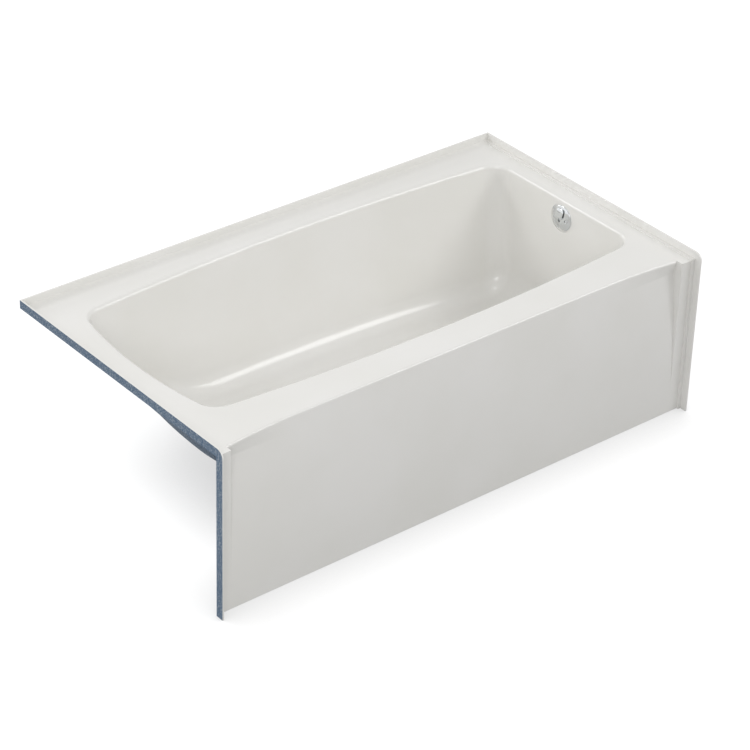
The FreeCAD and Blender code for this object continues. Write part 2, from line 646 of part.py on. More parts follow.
def makeBaseBoard():
    board = doc.addObject("Part::Box", "base_board")
    board.Placement = Placement(Vector(), Rotation(ACROSS, 1))
    board.setExpression(".Placement.Rotation.Angle", FLOOR_TILT)
    low = "(-dims.wall - dims.board_thick)"
    board.setExpression("Length", "%s - dims.board_gap - %s - dims.board_start" % (DRAIN_X, FLOOR_LEFT))
    board.setExpression("Width", "dims.board_width")
    board.setExpression("Height", "dims.board_thick")
    board.setExpression(".Placement.Base.x", "%s + dims.board_start * cos(%s) + %s * sin(%s)"
                        % (FLOOR_LEFT, FLOOR_TILT, low, FLOOR_TILT))
    board.setExpression(".Placement.Base.y", MIDLINE + " - dims.board_width / 2")
    board.setExpression(".Placement.Base.z", "dims.floor_high - dims.board_start * sin(%s) + %s * cos(%s)"
                        % (FLOOR_TILT, low, FLOOR_TILT))
    return board


def makeBearer(label, centre):
    # Its top follows the slope of the board.
    body = newBody(label)
    side = newSketch(body, "XZ_Plane", label + "_side")
    corners = []
    for sign in ("-", "+"):
        place = "(%s %s dims.bearer_width / 2)" % (centre, sign)
        top = "(dims.floor_high - (%s - %s) * tan(%s) - (dims.wall + dims.board_thick) / cos(%s))" % (
            place, FLOOR_LEFT, FLOOR_TILT, FLOOR_TILT)
        corners.append((place, top))
    drawOutline(side, [(corners[0][0], "0"), (corners[1][0], "0"), corners[1], corners[0]])
    addPad(body, side, "dims.bearer_length", midplane=True)
    placeBody(body, "0", MIDLINE, "0")
    return body


def makeApronStiffener():
    # A sheet bent to the back of the leaning panel.
    body = newBody("apron_stiffener")
    span = "(%s - dims.panel_foot)" % DECK
    bend = "((%s ^ 2 + dims.panel_lean ^ 2) / (2 * dims.panel_lean))" % span
    radii = ["(%s - dims.wall)" % bend, "(%s - dims.wall - dims.stiffener_thick)" % bend]

    def onSheet(radius, height):
        return "(%s + %s - sqrt(%s ^ 2 - (%s - dims.panel_foot) ^ 2))" % (APRON, bend, radius, height)

    low, high = "dims.stiffener_low", "dims.stiffener_high"
    profile = newSketch(body, "YZ_Plane", "stiffener_profile")
    drawOutline(profile, [(onSheet(radii[0], low), low), (onSheet(radii[0], high), high),
                          (onSheet(radii[1], high), high), (onSheet(radii[1], low), low)],
                {0: (radii[0], -1), 2: (radii[1], 1)})
    addPad(body, profile, "dims.length - 2 * dims.stiffener_inset", midplane=True)
    return body


def makeStrips():
    # straight strips: one along the apron's foot, one under the front deck
    end = "(dims.length / 2 - dims.stiffener_inset)"
    foot = "(%s + dims.wall)" % APRON
    nailer = addBox("apron_nailer", ("-" + end, end), (foot, "(%s + dims.nailer_thick)" % foot),
                    ("0", "dims.nailer_tall"))
    end = "(dims.length / 2 - dims.rim_board_inset)"
    front = "(%s + dims.panel_lean + dims.wall + dims.rim_board_gap)" % APRON
    under = addBox("rim_stiffener", ("-" + end, end), (front, "(%s + dims.rim_board_width)" % front),
                   ("(%s - dims.board_thick)" % UNDER_DECK, UNDER_DECK))
    return [nailer, under]


# ---- overflow plate and lever ----

def makePlate():
    # A domed sheet, turned as narrow cones round a flat middle; its seat on the wall is at X = 0.
    dome = "((dims.plate_radius ^ 2 + dims.plate_rise ^ 2) / (2 * dims.plate_rise))"
    crest = "(dims.plate_skirt + dims.plate_rise)"
    outside = [("-" + crest, "0")]
    inside = []
    for share in (0.3, 0.55, 0.8, 1):
        radius = "(dims.plate_radius * %g)" % share
        place = "(%s - %s - sqrt(%s ^ 2 - %s ^ 2))" % (dome, crest, dome, radius)
        outside.append((place if share > 0.3 else "-" + crest, radius))
        inner = "(%s - dims.plate_thick * %d)" % (radius, share == 1)
        inside.insert(0, ("(%s + dims.plate_thick)" % outside[-1][0], inner))
    inside.append(("(dims.plate_thick - %s)" % crest, "0"))
    edge = [("0", "dims.plate_radius"), ("0", "(dims.plate_radius - dims.plate_thick)")]
    body = turnedBody("overflow_plate", outside + edge + inside, axis="H_Axis")

    slot = newSketch(body, "YZ_Plane", "lever_slot")
    drawOutline(slot, rectangle("-dims.slot_width / 2", "-dims.slot_half", "dims.slot_width / 2", "dims.slot_half"))
    addPocket(body, slot, midplane=True)
    gap = newSketch(body, "YZ_Plane", "water_gap")
    drawOutline(gap, rectangle("-dims.water_gap_width / 2", "-dims.plate_radius - 1",
                               "dims.water_gap_width / 2", "-dims.plate_radius + dims.water_gap_tall"))
    addPocket(body, gap, midplane=True)

    for side in ("-", ""):
        place = "%sdims.screw_spread" % side
        boss = newSketch(body, "YZ_Plane", "screw_boss" + ("_front" if side else "_back"), "-dims.screw_seat")
        drawCircle(boss, place, "0", "dims.screw_boss_radius")
        addPad(body, boss, "dims.screw_boss_tall")
        head = newSketch(body, "YZ_Plane", "screw_head_hole" + ("_front" if side else "_back"),
                         "-dims.screw_seat")
        drawCircle(head, place, "0", "dims.screw_head_radius + dims.socket_gap")
        addPocket(body, head, "dims.plate_rise")
        hole = newSketch(body, "YZ_Plane", "screw_hole" + ("_front" if side else "_back"))
        drawCircle(hole, place, "0", "dims.screw_hole_radius")
        addPocket(body, hole, midplane=True)

        lug = newSketch(body, "XZ_Plane", "lug" + ("_front" if side else "_back"),
                        "%s(dims.lug_gap / 2 + dims.lug_thick / 2)" % side)
        start = "(dims.plate_thick / 1.5 - %s)" % crest
        drawOutline(lug, [(start, "-dims.lug_half"), ("dims.pivot_depth", "-dims.lug_half"),
                          ("dims.pivot_depth", "dims.lug_half"), (start, "dims.lug_half")],
                    {1: (None, 1)})
        addPad(body, lug, "dims.lug_thick", midplane=True)
    pin = newSketch(body, "XZ_Plane", "lug_holes")
    drawCircle(pin, "dims.pivot_depth", "0", "dims.pin_radius")
    addPocket(body, pin, midplane=True)
    placeBody(body, SEAT_X, MIDLINE, OVER_Z)
    return body


def makeLever():
    # Drawn with its arm level and its pin at the origin, then turned to its raised position.
    body = newBody("trip_lever")
    eye_start = "(%s - 0.5)" % ARM_REACH
    eye_end = "(%s / cos(%s) + 0.5)" % (ARM_REACH, LEVER_ANGLE)
    arm = newSketch(body, "XZ_Plane", "arm")
    drawOutline(arm, [("0", "-dims.arm_half"), (eye_end, "-dims.arm_half"), (eye_end, "dims.arm_half"),
                      ("0", "dims.arm_half")], {1: (None, 1)})
    addPad(body, arm, "dims.lever_thick", midplane=True)
    hub = newSketch(body, "XZ_Plane", "hub")
    drawCircle(hub, "0", "0", "dims.lever_hub_radius")
    addPad(body, hub, "dims.lever_thick", midplane=True)

    inside = "(dims.pivot_depth + dims.plate_skirt + dims.plate_rise + dims.paddle_clear)"
    outside = "(%s + dims.paddle_thick)" % inside
    turn = "(dims.paddle_bend - %s)" % outside
    neck = newSketch(body, "XZ_Plane", "neck")
    drawOutline(neck, rectangle(turn, "-dims.neck_half", "0", "dims.neck_half"))
    addPad(body, neck, "dims.lever_thick", midplane=True)
    paddle = newSketch(body, "XZ_Plane", "paddle")
    drawOutline(paddle, [(turn, "dims.neck_half"), ("-" + inside, "dims.neck_half"),
                         ("-" + inside, "dims.paddle_tall"), ("-" + outside, "dims.paddle_tall"),
                         ("-" + outside, "(dims.paddle_bend - dims.neck_half)"), (turn, "-dims.neck_half")],
                {4: ("dims.paddle_bend", 1)})
    addPad(body, paddle, "dims.paddle_width", midplane=True)

    eye = newSketch(body, "XZ_Plane", "eye")
    half = "(dims.pin_radius + dims.eye_gap)"
    drawOutline(eye, rectangle(eye_start, "-" + half, eye_end, half), {1: (None, 1), 3: (None, 1)})
    addPocket(body, eye, midplane=True)
    bore = newSketch(body, "XZ_Plane", "pivot_bore")
    drawCircle(bore, "0", "0", "dims.pin_radius + dims.running_gap")
    last = addPocket(body, bore, midplane=True)
    tall = body.evalExpression("dims.paddle_tall")
    corners = edgesWhere(last.Shape, lambda edge: edge.BoundBox.YLength < 1e-3
                         and all(abs(v.Point.z - tall) < 1e-3 for v in edge.Vertexes))
    addFillet(body, last, "paddle_corners", corners, "dims.paddle_corner")
    placeBody(body, PIVOT_X, MIDLINE, OVER_Z, LEVER_ANGLE)
    return body


def makePin(label, x, z, length):
    body = newBody(label)
    face = newSketch(body, "XZ_Plane", label + "_round")
    drawCircle(face, "0", "0", "dims.pin_radius")
    addPad(body, face, length, midplane=True)
    placeBody(body, x, MIDLINE, z)
    return body


def makePlateScrews():
    # Raised heads on the plate, shanks in the overflow head's flange.
    screws = []
    head = "(dims.screw_seat + dims.screw_head_tall)"
    tip = "(dims.overflow_seat_wall + dims.gasket_thick + dims.head_flange_thick)"
    for name, sign in (("front", "-"), ("back", "+")):
        screw = turnedBody("plate_screw_" + name,
                           [("-" + head, "0"), ("-" + head, "(dims.screw_head_radius / 2)"),
                            ("(1 - %s)" % head, "dims.screw_head_radius"),
                            ("-dims.screw_seat", "dims.screw_head_radius"),
                            ("-dims.screw_seat", "dims.screw_radius"), (tip, "dims.screw_radius"), (tip, "0")],
                           axis="H_Axis")
        placeBody(screw, SEAT_X, "%s %s dims.screw_spread" % (MIDLINE, sign), OVER_Z)
        screws.append(screw)
    return group("plate_screws", screws)


# ---- overflow behind the wall ----

def addScrewHoles(body, radius, length):
    for side in ("-", ""):
        hole = newSketch(body, "YZ_Plane", body.Label + "_hole" + ("_front" if side else "_back"))
        drawCircle(hole, "%sdims.screw_spread" % side, "0", radius)
        addPocket(body, hole, length, reverse=True)


def makeOverflowGasket():
    body = ring("overflow_gasket", "dims.gasket_bore", "dims.gasket_radius", "0", "dims.gasket_thick", "H_Axis")
    addScrewHoles(body, "dims.screw_hole_radius", "dims.gasket_thick")
    placeBody(body, SEAT_BACK, MIDLINE, OVER_Z)
    return body


def makeOverflowHead():
    # A hooded elbow: a level bore from the wall, an upright bore down to the tube.
    corner = "(%s - %s)" % (TUBE_X, HEAD_X)
    shoulder = "(-dims.head_shoulder)"
    foot = "(%s - dims.head_socket)" % shoulder
    body = newBody("overflow_head")
    flange = newSketch(body, "YZ_Plane", "head_flange")
    drawCircle(flange, "0", "0", "dims.head_flange_radius")
    addPad(body, flange, "dims.head_flange_thick")
    level = newSketch(body, "YZ_Plane", "head_barrel")
    drawCircle(level, "0", "0", "dims.head_radius")
    addPad(body, level, corner)

    hood = newSketch(body, "XZ_Plane", "head_hood")
    hood.setExpression(".AttachmentOffset.Base.x", corner)
    drawOutline(hood, [("0", foot), ("dims.head_radius", foot),
                       ("dims.head_radius", "(dims.head_radius - dims.head_bevel)"),
                       ("(dims.head_radius - dims.head_bevel)", "dims.head_radius"),
                       ("0", "dims.head_radius")])
    addRevolution(body, hood)
    inside = newSketch(body, "XZ_Plane", "head_inside")
    inside.setExpression(".AttachmentOffset.Base.x", corner)
    socket = "(dims.tube_radius + dims.socket_gap)"
    drawOutline(inside, [("0", foot), (socket, foot), (socket, shoulder), ("dims.head_bore", shoulder),
                         ("dims.head_bore", "dims.head_bore"), ("0", "dims.head_bore")])
    addGroove(body, inside)
    level = newSketch(body, "YZ_Plane", "head_opening")
    drawCircle(level, "0", "0", "dims.head_bore")
    addPocket(body, level, corner, reverse=True)
    addScrewHoles(body, "dims.screw_radius", "dims.head_flange_thick")
    placeBody(body, HEAD_X, MIDLINE, OVER_Z)
    return body


def makeTube():
    low = "(dims.tee_shoulder + dims.tube_stop)"
    high = "(%s - dims.head_shoulder - dims.tube_stop)" % OVER_Z
    tube = ring("overflow_tube", "dims.tube_bore", "dims.tube_radius", low, high)
    placeBody(tube, TUBE_X, MIDLINE, "0")
    return tube


# ---- clevis, rod and plunger ----

def makeClevis():
    # The clevis pin is at its origin.
    body = newBody("rod_clevis")
    foot = "(-dims.clevis_throat - dims.clevis_block)"
    half = "(dims.clevis_width / 2)"
    front = newSketch(body, "XZ_Plane", "clevis_front")
    drawOutline(front, [("-" + half, foot), (half, foot), (half, "(dims.clevis_head - dims.clevis_gap / 4)"),
                        ("(%s - dims.clevis_gap / 4)" % half, "dims.clevis_head"),
                        ("(dims.clevis_gap / 4 - %s)" % half, "dims.clevis_head"),
                        ("-" + half, "(dims.clevis_head - dims.clevis_gap / 4)")])
    addPad(body, front, "dims.clevis_width", midplane=True)
    throat = newSketch(body, "YZ_Plane", "clevis_throat")
    drawOutline(throat, rectangle("-dims.clevis_gap / 2", "-dims.clevis_throat", "dims.clevis_gap / 2",
                                  "(dims.clevis_head + 1)"))
    addPocket(body, throat, midplane=True)
    pin = newSketch(body, "XZ_Plane", "clevis_pin_hole")
    drawCircle(pin, "0", "0", "dims.pin_radius")
    addPocket(body, pin, midplane=True)
    rod = newSketch(body, "XY_Plane", "clevis_rod_hole", foot)
    drawCircle(rod, "0", "0", "dims.rod_radius")
    addPocket(body, rod, "dims.rod_grip", reverse=True)
    placeBody(body, TUBE_X, MIDLINE, CLEVIS_PIN_Z)
    return body


PLUNGER_LOW = "(dims.seat_high + dims.plunger_gap)"
PLUNGER_TOP = "(%s + dims.plunger_tall)" % PLUNGER_LOW


def makeRod():
    low = "(%s - dims.rod_grip)" % PLUNGER_TOP
    high = "(%s + dims.rod_grip)" % CLEVIS_UNDER
    rod = turnedBody("lift_rod", rectangle("0", low, "dims.rod_radius", high))
    placeBody(rod, TUBE_X, MIDLINE, "0")
    return rod


def makeLocknut():
    body = newBody("rod_locknut")
    face = newSketch(body, "XY_Plane", "locknut_face", "-dims.locknut_thick")
    corners = [("(dims.locknut_radius * cos(%d))" % turn, "(dims.locknut_radius * sin(%d))" % turn)
               for turn in range(0, 360, 60)]
    drawOutline(face, corners)
    addPad(body, face, "dims.locknut_thick")
    bore = newSketch(body, "XY_Plane", "locknut_bore")
    drawCircle(bore, "0", "0", "dims.rod_radius")
    addPocket(body, bore)
    placeBody(body, TUBE_X, MIDLINE, CLEVIS_UNDER)
    return body


def makePlunger():
    # A heavy sleeve that lets overflow water through, with a bar for the rod.
    rim = "(dims.plunger_radius - dims.plunger_nose)"
    tall = "dims.plunger_tall"
    body = turnedBody("plunger", [("dims.plunger_bore", "0"), (rim, "0"),
                                  ("dims.plunger_radius", "dims.plunger_nose"),
                                  ("dims.plunger_radius", tall), ("dims.plunger_bore", tall)])
    bar = newSketch(body, "XY_Plane", "plunger_bar", "(%s - dims.rod_grip)" % tall)
    reach = "((dims.plunger_bore + %s) / 2)" % rim
    drawOutline(bar, rectangle("-" + reach, "-dims.plunger_bar / 2", reach, "dims.plunger_bar / 2"))
    addPad(body, bar, "dims.rod_grip")
    hole = newSketch(body, "XY_Plane", "plunger_rod_hole", tall)
    drawCircle(hole, "0", "0", "dims.rod_radius")
    addPocket(body, hole, "dims.rod_grip")
    placeBody(body, TUBE_X, MIDLINE, PLUNGER_LOW)
    return body


# ---- waste fittings under the floor ----

def makeTee():
    body = turnedBody("waste_tee",
                      [("0", "dims.outlet_lift"), ("dims.tube_radius", "dims.outlet_lift"),
                       ("dims.tube_radius", "(dims.outlet_lift + dims.outlet_tall)"),
                       ("dims.tee_radius", "(dims.outlet_lift + dims.outlet_tall)"),
                       ("dims.tee_radius", "dims.tee_waist"), ("dims.joint_radius", "dims.tee_waist"),
                       ("dims.joint_radius", "dims.tee_top"), ("0", "dims.tee_top")])
    side = newSketch(body, "YZ_Plane", "tee_side")
    drawCircle(side, "0", "dims.inlet_high", "dims.joint_radius")
    addPad(body, side, "dims.inlet_reach", reverse=True)

    socket = "(dims.tube_radius + dims.socket_gap)"
    seat_under = "(dims.seat_high - dims.seat_thick)"
    inside = newSketch(body, "XZ_Plane", "tee_inside")
    drawOutline(inside, [("0", "dims.outlet_lift"), ("dims.outlet_bore", "dims.outlet_lift"),
                         ("dims.outlet_bore", seat_under), ("dims.seat_bore", seat_under),
                         ("dims.seat_bore", "dims.seat_high"), ("dims.tube_bore", "dims.seat_high"),
                         ("dims.tube_bore", "dims.tee_shoulder"), (socket, "dims.tee_shoulder"),
                         (socket, "dims.tee_top"), ("0", "dims.tee_top")])
    addGroove(body, inside)
    bore = newSketch(body, "YZ_Plane", "tee_side_bore")
    drawCircle(bore, "0", "dims.inlet_high", "dims.inlet_bore")
    addPocket(body, bore, "dims.inlet_reach")
    bore = newSketch(body, "YZ_Plane", "tee_side_socket", "-dims.inlet_shoulder")
    drawCircle(bore, "0", "dims.inlet_high", socket)
    addPocket(body, bore, "dims.inlet_reach")
    placeBody(body, TUBE_X, MIDLINE, "0")
    return body


def makeSlipNut(label):
    # Eight flats; drawn about Z, its threaded end at the origin and its lip above.
    lip = "(dims.nut_overlap + dims.washer_thick)"
    top = "(%s + dims.nut_lip)" % lip
    body = newBody(label)
    flats = newSketch(body, "XY_Plane", label + "_flats")
    corner = "(dims.nut_half / cos(22.5))"
    drawOutline(flats, [("(%s * cos(%g))" % (corner, turn), "(%s * sin(%g))" % (corner, turn))
                        for turn in (22.5 + 45 * k for k in range(8))])
    addPad(body, flats, top)
    inside = newSketch(body, "XZ_Plane", label + "_inside")
    thread = "(dims.joint_radius + dims.thread_gap)"
    neck = "(dims.tube_radius + dims.socket_gap)"
    drawOutline(inside, [("0", "0"), (thread, "0"), (thread, lip), (neck, lip), (neck, top), ("0", top)])
    addGroove(body, inside)
    return body


def makeSlipJoints():
    # the tube in the tee's top, and the shoe's tube in its side
    end = "(%s - dims.inlet_reach)" % TUBE_X
    outer = "(dims.joint_radius - dims.washer_gap)"
    top_nut = makeSlipNut("slip_nut_top")
    placeBody(top_nut, TUBE_X, MIDLINE, "dims.tee_top - dims.nut_overlap")
    side_nut = makeSlipNut("slip_nut_side")
    placeBody(side_nut, "%s + dims.nut_overlap" % end, MIDLINE, "dims.inlet_high", "-90")
    top_washer = ring("slip_washer_top", "dims.tube_radius", outer, "0", "dims.washer_thick")
    placeBody(top_washer, TUBE_X, MIDLINE, "dims.tee_top")
    side_washer = ring("slip_washer_side", "dims.tube_radius", outer, "-dims.washer_thick", "0", "H_Axis")
    placeBody(side_washer, end, MIDLINE, "dims.inlet_high")
    return [group("slip_nuts", [top_nut, side_nut]), group("slip_washers", [top_washer, side_washer])]


def makeShoe():
    under = "(%s - dims.shoe_flange_thick)" % SHOE_TOP
    body = turnedBody("waste_shoe", [("0", "dims.shoe_low"), ("dims.shoe_radius", "dims.shoe_low"),
                                     ("dims.shoe_radius", under), ("dims.shoe_flange_radius", under),
                                     ("dims.shoe_flange_radius", SHOE_TOP), ("0", SHOE_TOP)])
    reach = "(%s - dims.inlet_shoulder - dims.tube_stop - %s)" % (TUBE_X, DRAIN_X)
    tube = newSketch(body, "YZ_Plane", "shoe_tube")
    drawCircle(tube, "0", "dims.inlet_high", "dims.tube_radius")
    addPad(body, tube, reach)
    cup = newSketch(body, "XZ_Plane", "shoe_cup")
    drawOutline(cup, rectangle("0", "(dims.shoe_low + dims.shoe_floor)",
                               "(dims.flange_barrel_radius + dims.thread_gap)", SHOE_TOP))
    addGroove(body, cup)
    bore = newSketch(body, "YZ_Plane", "shoe_bore")
    drawCircle(bore, "0", "dims.inlet_high", "dims.inlet_bore")
    addPocket(body, bore, reach, reverse=True)
    placeBody(body, DRAIN_X, MIDLINE, "0")
    return body


def makeShoeGasket():
    bore = "(dims.flange_barrel_radius + dims.socket_gap)"
    gasket = ring("shoe_gasket", bore, "dims.shoe_flange_radius", "0", "dims.shoe_gasket_thick")
    placeBody(gasket, DRAIN_X, MIDLINE, SHOE_TOP)
    return gasket


def makeDrainFlange():
    # Its rim rests on the floor at the origin; cross bars carry the grid's screw.
    rim = "dims.flange_rim_radius"
    thick = "dims.flange_rim_thick"
    body = turnedBody("drain_flange",
                      [("dims.flange_barrel_bore", "-dims.flange_barrel_tall"),
                       ("dims.flange_barrel_radius", "-dims.flange_barrel_tall"),
                       ("dims.flange_barrel_radius", "0"), (rim, "0"), (rim, "%s / 3" % thick),
                       ("(%s - 2 * %s)" % (rim, thick), thick), ("dims.flange_barrel_bore", thick)])
    low = "(-dims.bar_sink - dims.bar_tall)"
    reach = "((dims.flange_barrel_bore + dims.flange_barrel_radius) / 2)"
    half = "(dims.bar_width / 2)"
    for name, across, along in (("bar_long", reach, half), ("bar_cross", half, reach)):
        bar = newSketch(body, "XY_Plane", name, low)
        drawOutline(bar, rectangle("-" + across, "-" + along, across, along))
        addPad(body, bar, "dims.bar_tall")
    boss = newSketch(body, "XY_Plane", "bar_boss", low)
    drawCircle(boss, "0", "0", "dims.bar_boss_radius")
    addPad(body, boss, "dims.bar_tall")
    hole = newSketch(body, "XY_Plane", "bar_hole")
    drawCircle(hole, "0", "0", "dims.grid_screw_radius")
    addPocket(body, hole)
    placeBody(body, DRAIN_X, MIDLINE, DRAIN_TOP)
    return body


def makeGrid():
    thick = "dims.grid_thick"
    body = turnedBody("drain_grid", [("dims.grid_screw_radius", "0"), ("dims.grid_radius", "0"),
                                     ("(dims.grid_radius - %s)" % thick, thick),
                                     ("dims.grid_screw_radius", thick)])
    slot = newSketch(body, "XY_Plane", "grid_slot")
    drawOutline(slot, rectangle("dims.grid_slot_start", "-dims.grid_slot_width / 2",
                                "dims.grid_slot_end", "dims.grid_slot_width / 2"))
    first = addPocket(body, slot, reverse=True)
    around = body.newObject("PartDesign::PolarPattern", "grid_slots")
    around.Originals = [first]
    around.Axis = (slot, ["N_Axis"])
    around.Angle = 360
    body.Tip = around
    around.Occurrences = 10
    placeBody(body, DRAIN_X, MIDLINE, "%s + dims.flange_rim_thick" % DRAIN_TOP)
    return body


def makeGridScrew():
    head = "dims.grid_screw_rise"
    tip = "(-dims.grid_thick - dims.flange_rim_thick - dims.bar_sink - dims.bar_tall)"
    screw = turnedBody("grid_screw", [("0", tip), ("dims.grid_screw_radius", tip),
                                      ("dims.grid_screw_radius", "0"), ("dims.grid_screw_head", "0"),
                                      ("dims.grid_screw_head", "%s / 2" % head),
                                      ("(dims.grid_screw_head / 2)", head), ("0", head)])
    placeBody(screw, DRAIN_X, MIDLINE, "%s + dims.flange_rim_thick + dims.grid_thick" % DRAIN_TOP)
    return screw


# ---- the whole tub ----

board_end = "(%s - dims.board_gap)" % DRAIN_X
board_begin = "(%s + dims.board_start)" % FLOOR_LEFT
parts = [makeShell(), makeBaseBoard(), makeApronStiffener()] + makeStrips()
parts.append(makeBearer("bearer_left", "(%s + dims.bearer_inset)" % board_begin))
parts.append(makeBearer("bearer_middle", "((%s + %s) / 2)" % (board_begin, board_end)))
parts.append(makeBearer("bearer_right", "(%s - dims.bearer_inset)" % board_end))
parts += [makePlate(), makeLever(), makePlateScrews()]
parts.append(makePin("lever_pin", PIVOT_X, OVER_Z, "dims.lug_gap + 2 * dims.lug_thick"))
parts += [makeOverflowGasket(), makeOverflowHead(), makeTube()]
parts += [makeClevis(), makeRod(), makeLocknut(), makePlunger()]
parts.append(makePin("clevis_pin", TUBE_X, CLEVIS_PIN_Z, "dims.clevis_width"))
parts += [makeTee(), makeShoe(), makeShoeGasket(), makeDrainFlange(), makeGrid(), makeGridScrew()]
parts += makeSlipJoints()
doc.recompute()

for item in doc.Objects:
    if "Invalid" in item.State or "Error" in item.State:
        raise RuntimeError("%s: %s" % (item.Name, item.State))
os.makedirs("parts", exist_ok=True)
for part in parts:
    if part.Shape.isNull() or not part.Shape.isValid():
        raise RuntimeError(part.Label + " is not a sound solid")
    part.Shape.exportStep("parts/%s.step" % part.Label)
    print(part.Label, len(part.Shape.Solids), round(part.Shape.Volume), part.Shape.BoundBox)
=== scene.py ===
# Alcove bathtub with its trip-lever waste: finishes, studio light and camera around the CAD frame.
import bpy
import json
import math
from mathutils import Matrix, Vector


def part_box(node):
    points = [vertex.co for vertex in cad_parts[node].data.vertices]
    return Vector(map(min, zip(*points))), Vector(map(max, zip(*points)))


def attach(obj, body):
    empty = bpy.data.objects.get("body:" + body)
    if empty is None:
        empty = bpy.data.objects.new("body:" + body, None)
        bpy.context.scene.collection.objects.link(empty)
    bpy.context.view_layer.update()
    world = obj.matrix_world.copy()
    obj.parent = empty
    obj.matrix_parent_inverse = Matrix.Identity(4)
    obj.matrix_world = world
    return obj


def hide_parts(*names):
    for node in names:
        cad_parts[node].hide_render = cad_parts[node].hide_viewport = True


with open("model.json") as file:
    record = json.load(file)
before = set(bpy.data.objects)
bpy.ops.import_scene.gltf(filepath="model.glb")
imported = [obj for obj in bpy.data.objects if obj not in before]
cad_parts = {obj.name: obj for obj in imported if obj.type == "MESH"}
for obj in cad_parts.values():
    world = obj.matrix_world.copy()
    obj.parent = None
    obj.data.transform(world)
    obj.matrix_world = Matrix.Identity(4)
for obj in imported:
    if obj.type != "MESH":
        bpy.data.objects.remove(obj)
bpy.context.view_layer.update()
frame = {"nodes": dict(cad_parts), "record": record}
nodes = frame["nodes"]
print("frame loaded:", len(nodes), "nodes")


def linear(code):
    # sRGB hex to the linear colour that the shaders take
    parts = [int(code[k:k + 2], 16) / 255 for k in (0, 2, 4)]
    return [p / 12.92 if p <= 0.04045 else ((p + 0.055) / 1.055) ** 2.4 for p in parts] + [1]


def newMaterial(name):
    # a Principled surface to build on
    material = bpy.data.materials.new(name)
    material.use_nodes = True
    return material, material.node_tree.nodes["Principled BSDF"]


def addNode(material, kind, inputs=None, **settings):
    # an input is a plain value, or the output of an earlier node
    node = material.node_tree.nodes.new("ShaderNode" + kind)
    for name, value in settings.items():
        setattr(node, name, value)
    for place, value in (inputs or {}).items():
        if isinstance(value, bpy.types.NodeSocket):
            material.node_tree.links.new(value, node.inputs[place])
        else:
            node.inputs[place].default_value = value
    return node


def rampColours(node, stops):
    # stops are (place, hex) pairs
    while len(node.color_ramp.elements) < len(stops):
        node.color_ramp.elements.new(0.5)
    for element, (place, code) in zip(node.color_ramp.elements, stops):
        element.position = place
        element.color = linear(code)


def joinSockets(material, pairs):
    for source, target in pairs:
        material.node_tree.links.new(source, target)


def noiseScale(sizeMm):
    # Object coordinates are metres, so a noise of that size has this scale
    return 1000 / sizeMm


# Gelcoat: polyester sprayed on a polished mould, so it is smooth, bright and wet-looking.
gelcoat = {
    "white": "EFEEEB",
    "shadeWhite": "ECEBE7",
    "roughness": 0.19,
    "ior": 1.54,
    "cloudMm": 240,
    "peelMm": 5,
    "peelDepthMm": 0.003,
}
glossWhiteGelcoat, surface = newMaterial("glossWhiteGelcoat")
place = addNode(glossWhiteGelcoat, "TexCoord").outputs["Object"]
cloud = addNode(glossWhiteGelcoat, "TexNoise", {
    "Vector": place, "Scale": noiseScale(gelcoat["cloudMm"]), "Detail": 3})
tint = addNode(glossWhiteGelcoat, "ValToRGB", {"Fac": cloud.outputs["Fac"]})
rampColours(tint, [(0.35, gelcoat["shadeWhite"]), (0.65, gelcoat["white"])])
peel = addNode(glossWhiteGelcoat, "TexNoise", {
    "Vector": place, "Scale": noiseScale(gelcoat["peelMm"]), "Detail": 1})
bump = addNode(glossWhiteGelcoat, "Bump", {
    "Height": peel.outputs["Fac"], "Strength": 1, "Distance": gelcoat["peelDepthMm"] / 1000})
joinSockets(glossWhiteGelcoat, [(tint.outputs["Color"], surface.inputs["Base Color"]),
                                (bump.outputs["Normal"], surface.inputs["Normal"])])
surface.inputs["Roughness"].default_value = gelcoat["roughness"]
surface.inputs["IOR"].default_value = gelcoat["ior"]

# The back of the laminate: chopped glass in blue resin, rolled by hand, so it is speckled and dull.
laminate = {
    "deepBlue": "446280",
    "resinBlue": "778AA0",
    "paleFibre": "A3B0BC",
    "strandMm": 3.6,            # real strands are about 1 mm wide; drawn coarser so that they show
    "strandStretch": 0.12,
    "strandTurns": ((0.3, 0.2, 0.5), (0.4, 1.3, 2.1), (1.4, 0.7, 3.6)),
    "speckMm": 4,
    "reliefMm": 0.6,
    "roughness": 0.5,
}
blueGlassLaminate, surface = newMaterial("blueGlassLaminate")
place = addNode(blueGlassLaminate, "TexCoord").outputs["Object"]
strands = None
for turn in laminate["strandTurns"]:
    laid = addNode(blueGlassLaminate, "Mapping", {
        "Vector": place, "Rotation": turn, "Scale": (1, 1, laminate["strandStretch"])})
    strand = addNode(blueGlassLaminate, "TexNoise", {
        "Vector": laid.outputs["Vector"], "Scale": noiseScale(laminate["strandMm"]), "Detail": 2})
    if strands is None:
        strands = strand.outputs["Fac"]
    else:
        strands = addNode(blueGlassLaminate, "Math", {0: strands, 1: strand.outputs["Fac"]},
                          operation="MAXIMUM").outputs[0]
fleck = addNode(blueGlassLaminate, "TexVoronoi", {
    "Vector": place, "Scale": noiseScale(laminate["speckMm"])})
mixed = addNode(blueGlassLaminate, "Math", {
    0: strands, 1: fleck.outputs["Distance"], 2: 0.1}, operation="MULTIPLY_ADD")
tone = addNode(blueGlassLaminate, "ValToRGB", {"Fac": mixed.outputs[0]})
rampColours(tone, [(0.2, laminate["deepBlue"]), (0.42, laminate["resinBlue"]),
                   (0.6, laminate["paleFibre"])])
bump = addNode(blueGlassLaminate, "Bump", {
    "Height": mixed.outputs[0], "Strength": 0.6, "Distance": laminate["reliefMm"] / 1000})
joinSockets(blueGlassLaminate, [(tone.outputs["Color"], surface.inputs["Base Color"]),
                                (bump.outputs["Normal"], surface.inputs["Normal"])])
